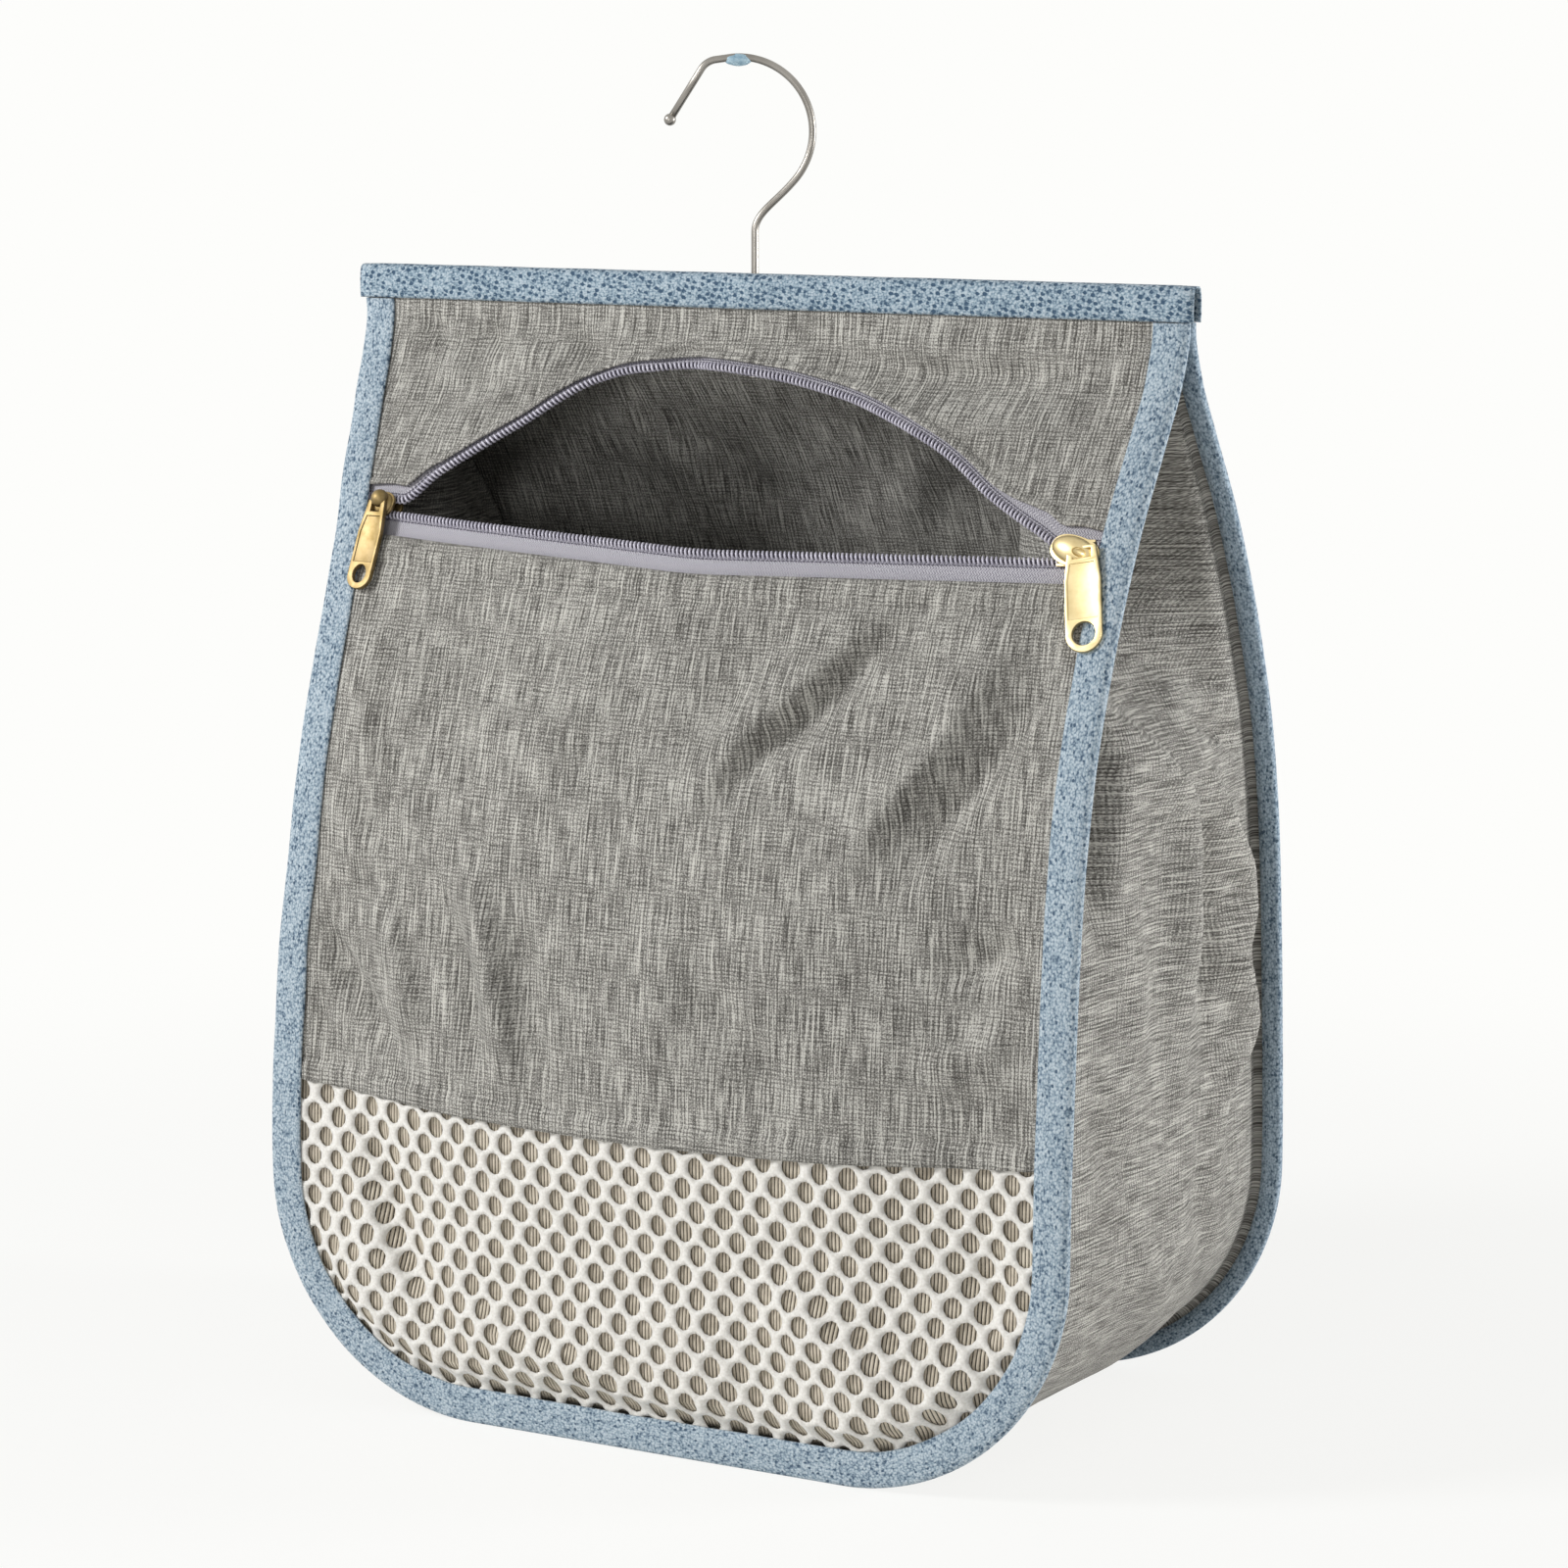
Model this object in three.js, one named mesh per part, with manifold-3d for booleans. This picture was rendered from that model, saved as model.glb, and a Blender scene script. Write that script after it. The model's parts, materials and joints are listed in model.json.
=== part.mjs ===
// A hanging bag for clothes pegs: heather cloth panels, a net panel low on the front, bound seams,
// a zipped mouth with two sliders, and a wire hook that swivels in a bar sewn into the top hem.
// Millimetres, +Z up, the front faces -Y, and the origin is under the middle of the bag.
import * as THREE from 'three';
import { mergeVertices } from 'three/addons/utils/BufferGeometryUtils.js';
import Module from 'manifold-3d';

const wasm = await Module();
wasm.setup();

// Driving dimensions of the bag
const bagWidth = 281; // over the side bindings at the top
const bagHeight = 342; // floor to the top of the top binding
const bagDepth = 148; // front seam plane to back seam plane, low down
const cornerRadius = 72; // outer edge of the bindings at the bottom corners
const leftTuck = 17; // how far the body draws the left edge in
const bodyBelly = 11; // how far the front and back panels swell past their seams
const gussetBelly = 4; // how far the side strip swells

// Cloth, tape and the seams that hold them
const clothThickness = 0.6;
const tapeThickness = 0.6;
const seamGap = 0.3; // clearance between layers that are sewn together
const seamInset = 8.5; // outer edge of a binding to the side strip
const bindingWidth = 10.5;
const bindingBevel = 0.45; // along the top binding
const topBindingHeight = 10;
const topBindingOverhang = 1.5; // past each side binding
const gussetBend = 1.2; // radius where the strip turns into its seam
const bellyInset = 26; // outer edge of a binding to where the panels start to swell
const gussetTopDrop = 14; // below the top binding

// Zip: two woven tapes, each with a coil along one edge
const zipDrop = 73.5; // top of the bag to the lower coil at the side seams
const zipSag = 4; // lower coil in the middle, below its ends
const zipRightDrop = 2.2; // its right end, below its left end
const zipMiddle = 5; // place of the lowest point, to the right of the centre line
const zipMiddleSoftness = 8; // rounded stretch each side of it
const coilRadius = 1.3;
const zipTapeWidth = 9.5;
const lowerTapeShow = 5.5; // tape seen between coil and cloth
const upperTapeShowEnd = 5.2;
const upperTapeShowMiddle = 1;
const archRise = 46; // how far the mouth stands open
const tapeCoveredShare = 0.3; // of the mouth; past it the hem draws back from the upper coil

// Net panel
const netHeight = 101; // seam between cloth and net, at the sides
const netSeamSag = 4.5;
const netThickness = 0.6;
const netPitch = 12;
const netRow = 8.6;
const netGapWidth = 7.8;
const netGapHeight = 8.8;
const netBorder = 2;
const liningThickness = 0.4;
const liningSlack = 0.5; // the sheer lining hangs this far behind its seam

// Sliders and their pulls
const sliderLength = 10.5;
const sliderPlate = 1.1;
const sliderFlange = 0.8;
const sliderCorner = 2.2;
const sliderGap = 0.4; // between a slider and the coils in it
const neckHalfWidth = 0.9;
const neckLength = 2.4;
const lugWidth = 2.2;
const lugWall = 0.9;
const lugBore = 1.4;
const leftPullLength = 29;
const rightPullLength = 32;
const pullWidth = 8.5;
const pullNeckWidth = 6.4;
const pullThickness = 1.5;
const pullHoleWidth = 4;
const pullHoleHeight = 5;
const pullHoleEdge = 2.4; // metal below the hole
const pullRim = 1.1;
const pullRecess = 0.3;
const leftSliderInset = 16.2; // from the outer edge of the side binding
const rightSliderInset = 17.5;
const leftPullTurn = 3; // degrees, foot of the pull towards +X
const rightPullTurn = 16;

// Hook and the bar that carries it
const wireRadius = 1.1;
const hookRadius = 21;
const hookCrown = 63.7; // top of the wire's centre line above the bag
const hookCentreOffset = -3.8; // centre of the bend, beside the stem
const hookStartAngle = -34;
const hookEndAngle = 172;
const hookStraight = 12; // straight stem above the bag
const hookEase = 9; // reach of the curve between stem and bend
const hookTipRadius = 1.8;
const hookTurn = 29; // degrees, as it stands in its swivel
const hookOffset = -2; // stem beside the centre line
const sleeveWall = 0.5;
const sleeveAngles = [81, 103];
const barLength = 250;
const barHeight = 13;
const barThickness = 2.2;
const barDrop = 1; // below the top binding
const bossRadius = 3.4;
const bossHeight = 8;
const bossOverlap = 4; // boss top above the foot of the bar
const bushRadius = 2.2;
const bushLength = 5.4;
const washerRadius = 3.2;
const washerThickness = 0.6;
const collarRadius = 2.4;
const collarHeight = 1.4;

// Heights above the seam plane, measured outwards through the layers of a bound seam
const panelLift = (seamGap + clothThickness) / 2;
const insideLift = -panelLift;
const legInner = panelLift + clothThickness / 2 + seamGap;
const legOuter = legInner + tapeThickness;
const edgeInset = tapeThickness + seamGap;
const innerLegWidth = seamInset - gussetBend - clothThickness / 2 - seamGap;
const topHalfDepth = legOuter + seamGap / 2;
const topBindingFoot = bagHeight - topBindingHeight;
const zipHeight = bagHeight - zipDrop;
const boreRadius = wireRadius + seamGap; // round the hook's stem
const clothTop = bagHeight - edgeInset;
const bindingTop = topBindingFoot - seamGap;
const front = -1;
const back = 1;

// Side profile, from the top down: share of the height, share of the half depth
const profileShares = [[0, 1], [0.22, 1], [0.35, 0.975], [0.5, 0.92], [0.6, 0.835], [0.7, 0.672],
  [0.8, 0.44], [0.88, 0.19], [0.92, 0.07], [0.965, 0], [1, 0]];
// Swell of the panels: share of the height, share of the belly
const bellyShares = [[0, 0], [0.058, 0], [0.13, 0.42], [0.22, 0.84], [0.33, 1], [0.6, 0.9],
  [0.69, 0.73], [0.81, 0.73], [0.965, 0], [1, 0]];
// Left edge: share of the height, share of the tuck
const tuckShares = [[0, 0.65], [0.24, 0.65], [0.4, 0.74], [0.5, 0.9], [0.65, 0.98], [0.75, 0.87],
  [0.84, 0.5], [0.92, 0.14], [1, 0]];
// Open edge of the mouth: place between the sliders, share of its rise
const archShares = [[-1, 0], [-0.9, 0.2], [-0.7, 0.54], [-0.5, 0.86], [-0.37, 0.95], [-0.15, 1], [0, 0.98],
  [0.2, 0.89], [0.42, 0.735], [0.6, 0.55], [0.78, 0.27], [0.92, 0.09], [1, 0]];
const tentFootShare = 0.69; // of the height; above it the front panel is drawn straight to the zip
const tentFadeShare = 0.44; // of the height; below it the front panel is round

// Fineness of the faceted shapes
const profileRows = 15;
const bodyRows = 6;
const cornerSteps = 7;
const baseSteps = 4;
const clothColumns = 16;
const zipColumns = 42;
const netSideRows = 3;
const wireSides = 8;
const wireSteps = 44;
const sleeveSteps = 5;
const coilSides = 6;
const roundSides = 16;
const leastRowShare = 0.025; // rows of a panel lie no closer than this share of its height
const slopeShare = 0.002;
const probe = bagHeight * slopeShare; // step used to measure a slope
const mergeDistance = probe * slopeShare;

const clothGrey = new THREE.MeshStandardMaterial({ color: 0x8b8a87, roughness: 0.9, metalness: 0 });
const bindingBlue = new THREE.MeshStandardMaterial({ color: 0x7d9db2, roughness: 0.85, metalness: 0 });
const netWhite = new THREE.MeshStandardMaterial({ color: 0xe8e6e1, roughness: 0.7, metalness: 0 });
const zipLilac = new THREE.MeshStandardMaterial({ color: 0x8f8d98, roughness: 0.55, metalness: 0.1 });
const brass = new THREE.MeshStandardMaterial({ color: 0xb59a5b, roughness: 0.35, metalness: 1 });
const steel = new THREE.MeshStandardMaterial({ color: 0x9a9691, roughness: 0.3, metalness: 1 });
const nylon = new THREE.MeshStandardMaterial({ color: 0xd9d7d0, roughness: 0.5, metalness: 0 });
const sleeveBlue = new THREE.MeshStandardMaterial({ color: 0x8fb6d0, roughness: 0.4, metalness: 0 });

// A smooth line through a table of points, which never overshoots them
function smoothTable(table, x) {
  const last = table.length - 1;
  if (x <= table[0][0]) return table[0][1];
  if (x >= table[last][0]) return table[last][1];
  const secant = (i) => (table[i + 1][1] - table[i][1]) / (table[i + 1][0] - table[i][0]);
  const slope = (i) => {
    if (i === 0 || i === last) return 0;
    const [before, after] = [secant(i - 1), secant(i)];
    return before * after <= 0 ? 0 : (2 * before * after) / (before + after);
  };
  let i = 0;
  while (x > table[i + 1][0]) i += 1;
  const span = table[i + 1][0] - table[i][0];
  const t = (x - table[i][0]) / span;
  const rise = 3 * t * t - 2 * t * t * t;
  return table[i][1] * (1 - rise) + table[i + 1][1] * rise
    + span * (slope(i) * (t * t * t - 2 * t * t + t) + slope(i + 1) * (t * t * t - t * t));
}

// Evenly spaced values from one end to the other, both included
function steps(from, to, count) {
  return Array.from({ length: count + 1 }, (_, i) => from + ((to - from) * i) / count);
}

function halfDepth(z) {
  return topHalfDepth + (bagDepth / 2 - topHalfDepth) * smoothTable(profileShares, z / bagHeight);
}

// Angle of the side profile from upright
function lean(z) {
  return Math.atan2(halfDepth(z - probe) - halfDepth(z + probe), 2 * probe);
}

// Outer edge of the bag at a height, moved inwards by an inset, with the bottom corners round
function edge(side, z, inset = 0) {
  const tuck = side < 0 ? leftTuck * smoothTable(tuckShares, Math.max(z, cornerRadius) / bagHeight) : 0;
  const outer = bagWidth / 2 - tuck;
  if (z >= cornerRadius) return side * (outer - inset);
  const radius = cornerRadius - inset;
  const drop = Math.min(cornerRadius - z, radius);
  return side * (outer - cornerRadius + Math.sqrt(radius * radius - drop * drop));
}

// How far a panel swells at a point
const tentStart = edge(-1, zipHeight, bindingWidth);
const tentEnd = edge(1, zipHeight, bindingWidth);
function tent(x) {
  const run = x < zipMiddle ? zipMiddle - tentStart : tentEnd - zipMiddle;
  const away = Math.abs(x - zipMiddle);
  const soft = (away * away + zipMiddleSoftness ** 2) / (2 * zipMiddleSoftness);
  return Math.max(0, 1 - (away < zipMiddleSoftness ? soft : away) / run);
}

function belly(side, x, z) {
  const from = edge(-1, z, bellyInset);
  const to = edge(1, z, bellyInset);
  const across = THREE.MathUtils.clamp((2 * x - from - to) / (to - from), -1, 1);
  const round = THREE.MathUtils.smoothstep(1 - across * across, 0, 1);
  const drawn = side === front
    ? THREE.MathUtils.smoothstep(z / bagHeight, tentFadeShare, tentFootShare) : 0;
  const swell = bodyBelly * smoothTable(bellyShares, z / bagHeight);
  return swell * (drawn * tent(x) + (1 - drawn) * round);
}

// A point on the front or back of the bag, raised outwards from the seam plane
function onPanel(side, x, z, lift) {
  const angle = lean(z);
  const depth = halfDepth(z) + belly(side, x, z) + lift * Math.cos(angle);
  return new THREE.Vector3(x, side * depth, z + lift * Math.sin(angle));
}

// Merges a geometry's corners, drops faces that have shrunk to a line, and turns its faces outwards
function faceOut(geometry) {
  const merged = geometry.clone();
  for (const name of ['normal', 'uv']) merged.deleteAttribute(name);
  const closed = mergeVertices(merged, mergeDistance);
  const faces = [];
  for (let i = 0; i < closed.index.count; i += 3) {
    const face = [0, 1, 2].map((corner) => closed.index.getX(i + corner));
    if (new Set(face).size === 3) faces.push(...face);
  }
  closed.setIndex(faces);
  const [a, b, c] = [new THREE.Vector3(), new THREE.Vector3(), new THREE.Vector3()];
  const { index, attributes: { position } } = closed;
  let volume = 0;
  for (let i = 0; i < index.count; i += 3) {
    a.fromBufferAttribute(position, index.getX(i));
    b.fromBufferAttribute(position, index.getX(i + 1));
    c.fromBufferAttribute(position, index.getX(i + 2));
    volume += a.dot(b.cross(c));
  }
  if (volume < 0) index.array.reverse();
  closed.computeVertexNormals();
  return closed;
}

// A box bent to a surface: place(column, row, through) gives each corner, through from -0.5 to 0.5
function slab(columns, rows, place) {
  const across = columns.length - 1;
  const along = rows.length - 1;
  const geometry = new THREE.BoxGeometry(1, 1, 1, across, along, 1);
  const { position } = geometry.attributes;
  for (let i = 0; i < position.count; i += 1) {
    const column = columns[Math.round((position.getX(i) + 0.5) * across)];
    const row = rows[Math.round((position.getY(i) + 0.5) * along)];
    const { x, y, z } = place(column, row, position.getZ(i));
    position.setXYZ(i, x, y, z);
  }
  return faceOut(geometry);
}

// A section carried along numbered stations: place(station, across, up) gives each corner
function sweep(section, stations, place) {
  const geometry = new THREE.ExtrudeGeometry(section, {
    depth: stations.length - 1, steps: stations.length - 1, bevelEnabled: false,
  });
  const { position } = geometry.attributes;
  for (let i = 0; i < position.count; i += 1) {
    const station = stations[Math.round(position.getZ(i))];
    const { x, y, z } = place(station, position.getX(i), position.getY(i));
    position.setXYZ(i, x, y, z);
  }
  return faceOut(geometry);
}

// A round bar along a line of points
function bar(points, radius, sides, count, bore = 0) {
  const section = new THREE.Shape().absarc(0, 0, radius, 0, 2 * Math.PI);
  if (bore) section.holes.push(new THREE.Path().absarc(0, 0, bore, 0, 2 * Math.PI, true));
  const path = new THREE.CatmullRomCurve3(points);
  return faceOut(new THREE.ExtrudeGeometry(section, {
    extrudePath: path, steps: count, curveSegments: sides / 2, bevelEnabled: false,
  }));
}

function ring(outer, inner, height) {
  const profile = [[inner, 0], [outer, 0], [outer, height], [inner, height], [inner, 0]];
  const geometry = new THREE.LatheGeometry(profile.map(([r, y]) => new THREE.Vector2(r, y)), roundSides);
  return faceOut(geometry.rotateX(Math.PI / 2));
}

// Joins and cuts, on closed geometries
function solid(geometry) {
  const closed = faceOut(geometry);
  return new wasm.Manifold(new wasm.Mesh({
    numProp: 3,
    vertProperties: closed.attributes.position.array,
    triVerts: new Uint32Array(closed.index.array),
  }));
}

function fromSolid(made) {
  const { vertProperties, triVerts } = made.getMesh();
  const geometry = new THREE.BufferGeometry();
  geometry.setAttribute('position', new THREE.BufferAttribute(vertProperties, 3));
  geometry.setIndex(new THREE.BufferAttribute(triVerts, 1));
  geometry.computeVertexNormals();
  return geometry;
}

function combine(kept, added, removed = []) {
  let made = solid(kept);
  for (const piece of added) made = made.add(solid(piece));
  for (const piece of removed) made = made.subtract(solid(piece));
  return fromSolid(made);
}

function node(name, geometry, material) {
  const mesh = new THREE.Mesh(geometry, material.clone());
  mesh.name = name;
  return mesh;
}

// Outline of a panel, from its left top corner round the bottom to its right top corner
const sideRows = [
  ...steps(bindingTop, bagHeight / 2, profileRows),
  ...steps(bagHeight / 2, cornerRadius, bodyRows).slice(1),
];
const cornerAngles = steps(0, Math.PI / 2, cornerSteps).slice(1);
const outlineStations = (() => {
  const leftCentre = edge(-1, cornerRadius) + cornerRadius;
  const rightCentre = edge(1, cornerRadius) - cornerRadius;
  const corner = (side, angle) => ({
    x: (side < 0 ? leftCentre : rightCentre) + side * cornerRadius * Math.cos(angle),
    z: cornerRadius * (1 - Math.sin(angle)),
    inX: -side * Math.cos(angle),
    inZ: Math.sin(angle),
  });
  const sideAt = (side, z) => ({ x: edge(side, z), z, inX: -side, inZ: 0 });
  return [
    ...sideRows.map((z) => sideAt(-1, z)),
    ...cornerAngles.map((angle) => corner(-1, angle)),
    ...steps(leftCentre, rightCentre, baseSteps).slice(1, -1).map((x) => ({ x, z: 0, inX: 0, inZ: 1 })),
    ...[...cornerAngles].reverse().map((angle) => corner(1, angle)),
    ...[...sideRows].reverse().map((z) => sideAt(1, z)),
  ];
})();

// Rows of a panel between two heights, which keep to the heights of the bindings beside it
function rowsBetween(low, high, inset = edgeInset) {
  const least = (high - low) * leastRowShare;
  const corners = cornerAngles.map((angle) => cornerRadius - (cornerRadius - inset) * Math.sin(angle));
  const between = [...sideRows, ...corners].filter((z) => z > low + least && z < high - least);
  return [...new Set([low, ...between, high])].sort((a, b) => a - b);
}

// Front and back panels of one cut, from a low edge to a high edge that may both be curved
function panel(side, lowEdge, highEdge, lift, thickness, inset, columns = clothColumns) {
  const low = lowEdge(edge(1, zipHeight));
  const high = highEdge(edge(1, zipHeight));
  const rows = rowsBetween(low, high, inset).map((z) => ({ z, share: (z - low) / (high - low) }));
  const inner = Math.max(inset, bindingWidth);
  return slab([-1, ...steps(0, 1, columns), 2], rows, (column, row, through) => {
    let x = THREE.MathUtils.lerp(edge(-1, row.z, inner), edge(1, row.z, inner), column);
    if (column < 0) x = edge(-1, row.z, inset);
    if (column > 1) x = edge(1, row.z, inset);
    const z = lowEdge(x) + (highEdge(x) - lowEdge(x)) * row.share;
    return onPanel(side, x, z, lift + through * thickness);
  });
}

// Zip lines, as heights at a place across the bag
const zipLean = lean(zipHeight);
const downPanel = Math.cos(zipLean); // height of one millimetre along the sloping cloth
const coilOffset = neckHalfWidth + sliderGap + coilRadius; // either coil to the middle of a slider
const tapeStart = coilRadius + seamGap; // coil's centre to the edge of its tape
const zipEndInset = seamInset + clothThickness / 2 + seamGap;
const zipFoot = zipHeight - (tapeStart + zipTapeWidth) * downPanel;
const zipEnds = [edge(-1, zipFoot, zipEndInset), edge(1, zipFoot, zipEndInset)];
const leftSliderX = edge(-1, zipHeight) + leftSliderInset;
const rightSliderX = edge(1, zipHeight) - rightSliderInset;
const lowerCoilHeight = (x) => zipHeight - zipSag * tent(x)
  - zipRightDrop * THREE.MathUtils.inverseLerp(tentStart, tentEnd, x);

function archPlace(x) {
  const from = leftSliderX + sliderLength / 2;
  const to = rightSliderX - sliderLength / 2;
  return (2 * x - from - to) / (to - from);
}

function upperCoilHeight(x) {
  const rise = archRise * smoothTable(archShares, archPlace(x));
  return lowerCoilHeight(x) + 2 * coilOffset * downPanel + rise;
}

// Height of one millimetre measured square to the upper coil
function squareToArch(x) {
  const slope = (upperCoilHeight(x + probe) - upperCoilHeight(x - probe)) / (2 * probe * downPanel);
  return downPanel * Math.hypot(1, slope);
}

const lowerClothEdge = (x) => lowerCoilHeight(x) - (tapeStart + lowerTapeShow) * downPanel;
function upperClothEdge(x) {
  const near = THREE.MathUtils.smoothstep(Math.abs(archPlace(x)), tapeCoveredShare, 1);
  const show = THREE.MathUtils.lerp(upperTapeShowMiddle, upperTapeShowEnd, near);
  return upperCoilHeight(x) + (tapeStart + show) * squareToArch(x);
}

function netSeam(x) {
  const across = THREE.MathUtils.clamp(x / (bagWidth / 2 - seamInset), -1, 1);
  return netHeight - netSeamSag * (1 - across * across);
}

const flat = (z) => () => z;

// Binding tape folded over the outer edge of a panel and the side strip
function binding(side) {
  const section = new THREE.Shape([
    [0, -legOuter], [innerLegWidth, -legOuter], [innerLegWidth, -legInner],
    [tapeThickness, -legInner], [tapeThickness, legInner], [bindingWidth, legInner],
    [bindingWidth, legOuter], [0, legOuter],
  ].map(([a, lift]) => new THREE.Vector2(a, lift)));
  return sweep(section, outlineStations, (s, inset, lift) => (
    onPanel(side, s.x + s.inX * inset, s.z + s.inZ * inset, lift)
  ));
}

// One strip down the left side, under the bag and up the right, its edges turned out into the seams
function gusset() {
  const turn = steps(0, Math.PI / 2, 1);
  const bend = turn.map((angle) => ({
    inset: seamInset - gussetBend * (1 - Math.sin(angle)),
    lift: insideLift - gussetBend * (1 - Math.cos(angle)),
    inN: Math.sin(angle),
    liftN: Math.cos(angle),
    across: 0,
  }));
  const flange = { inset: edgeInset, lift: insideLift, inN: 0, liftN: 1, across: 0 };
  const webFrom = bend[bend.length - 1];
  const web = steps(0, 1, 4).slice(1, -1).map((across) => ({ ...webFrom, across }));
  const half = [flange, ...bend];
  const section = [...half, ...web, ...[...half].reverse().map((p) => ({ ...p, across: 1 }))];
  const stations = outlineStations.filter((s) => s.z < bindingTop - gussetTopDrop + probe);
  return slab(section, stations, (p, s, through) => {
    const swell = gussetBelly * Math.sin(Math.PI * p.across);
    const inset = p.inset + through * clothThickness * p.inN - swell;
    const lift = p.lift + through * clothThickness * p.liftN;
    const [x, z] = [s.x + s.inX * inset, s.z + s.inZ * inset];
    return onPanel(front, x, z, lift).lerp(onPanel(back, x, z, lift), p.across);
  });
}

// Binding folded over the top hem, with a hole for the hook's stem
function topBinding() {
  const inner = topHalfDepth + legInner;
  const outer = inner + tapeThickness;
  const length = bagWidth + 2 * topBindingOverhang;
  const section = new THREE.Shape([
    [-outer, topBindingFoot], [-inner, topBindingFoot], [-inner, bagHeight - tapeThickness],
    [inner, bagHeight - tapeThickness], [inner, topBindingFoot], [outer, topBindingFoot],
    [outer, bagHeight - bindingBevel], [outer - bindingBevel, bagHeight],
    [bindingBevel - outer, bagHeight], [-outer, bagHeight - bindingBevel],
  ].map(([y, z]) => new THREE.Vector2(y, z)));
  const fold = sweep(section, [-length / 2, length / 2], (x, y, z) => new THREE.Vector3(x, y, z));
  const hole = new THREE.CylinderGeometry(boreRadius, boreRadius, topBindingHeight, roundSides);
  hole.rotateX(Math.PI / 2).translate(hookOffset, 0, bagHeight);
  return combine(fold, [], [hole]);
}

// Outline of the net panel: down the left edge, round the bottom and back along the seam above
function netOutline(top) {
  const rows = steps(top(bagWidth / 2), cornerRadius, netSideRows);
  const sideAt = (side) => rows.map((z) => [edge(side, z, edgeInset), z]);
  const cornerAt = (side) => cornerAngles.map((angle) => [
    edge(side, cornerRadius) - side * (cornerRadius - (cornerRadius - edgeInset) * Math.cos(angle)),
    cornerRadius - (cornerRadius - edgeInset) * Math.sin(angle),
  ]);
  const [left, right] = [cornerAt(-1), cornerAt(1).reverse()];
  const base = steps(left[left.length - 1][0], right[0][0], clothColumns).slice(1, -1);
  const across = steps(edge(1, netHeight, edgeInset), edge(-1, netHeight, edgeInset), clothColumns);
  return [...sideAt(-1), ...left, ...base.map((x) => [x, edgeInset]), ...right,
    ...sideAt(1).reverse(), ...across.slice(1, -1).map((x) => [x, top(x)])];
}

// Directed edges of flat faces that no neighbour shares
function openEdges(faces) {
  const around = (face) => face.map((from, i) => `${from} ${face[(i + 1) % face.length]}`);
  const keys = new Set(faces.flatMap(around));
  const edges = [...keys].map((key) => key.split(' ').map(Number));
  return edges.filter(([from, to]) => !keys.has(`${to} ${from}`));
}

// Turns the edge that two flat triangles share wherever that makes them rounder, until none is left
function rounder(triangles, points) {
  const faces = [...triangles];
  const inCircle = (face, d) => {
    const rows = face.map((i) => {
      const [x, y] = [points[i][0] - points[d][0], points[i][1] - points[d][1]];
      return [x, y, x * x + y * y];
    });
    return new THREE.Matrix3(...rows.flat()).determinant() > mergeDistance * bagHeight ** 3;
  };
  const turnOne = () => {
    const owners = new Map(faces.flatMap((face, f) => face.map((a, i) => [`${a} ${face[(i + 1) % 3]}`, f])));
    for (const [key, f] of owners) {
      const [a, b] = key.split(' ').map(Number);
      const g = owners.get(`${b} ${a}`);
      if (g === undefined) continue;
      const c = faces[f].find((i) => i !== a && i !== b);
      const d = faces[g].find((i) => i !== a && i !== b);
      if (!inCircle([a, b, c], d)) continue;
      faces[f] = [a, d, c];
      faces[g] = [d, b, c];
      return true;
    }
    return false;
  };
  while (turnOne());
  return faces;
}

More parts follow.
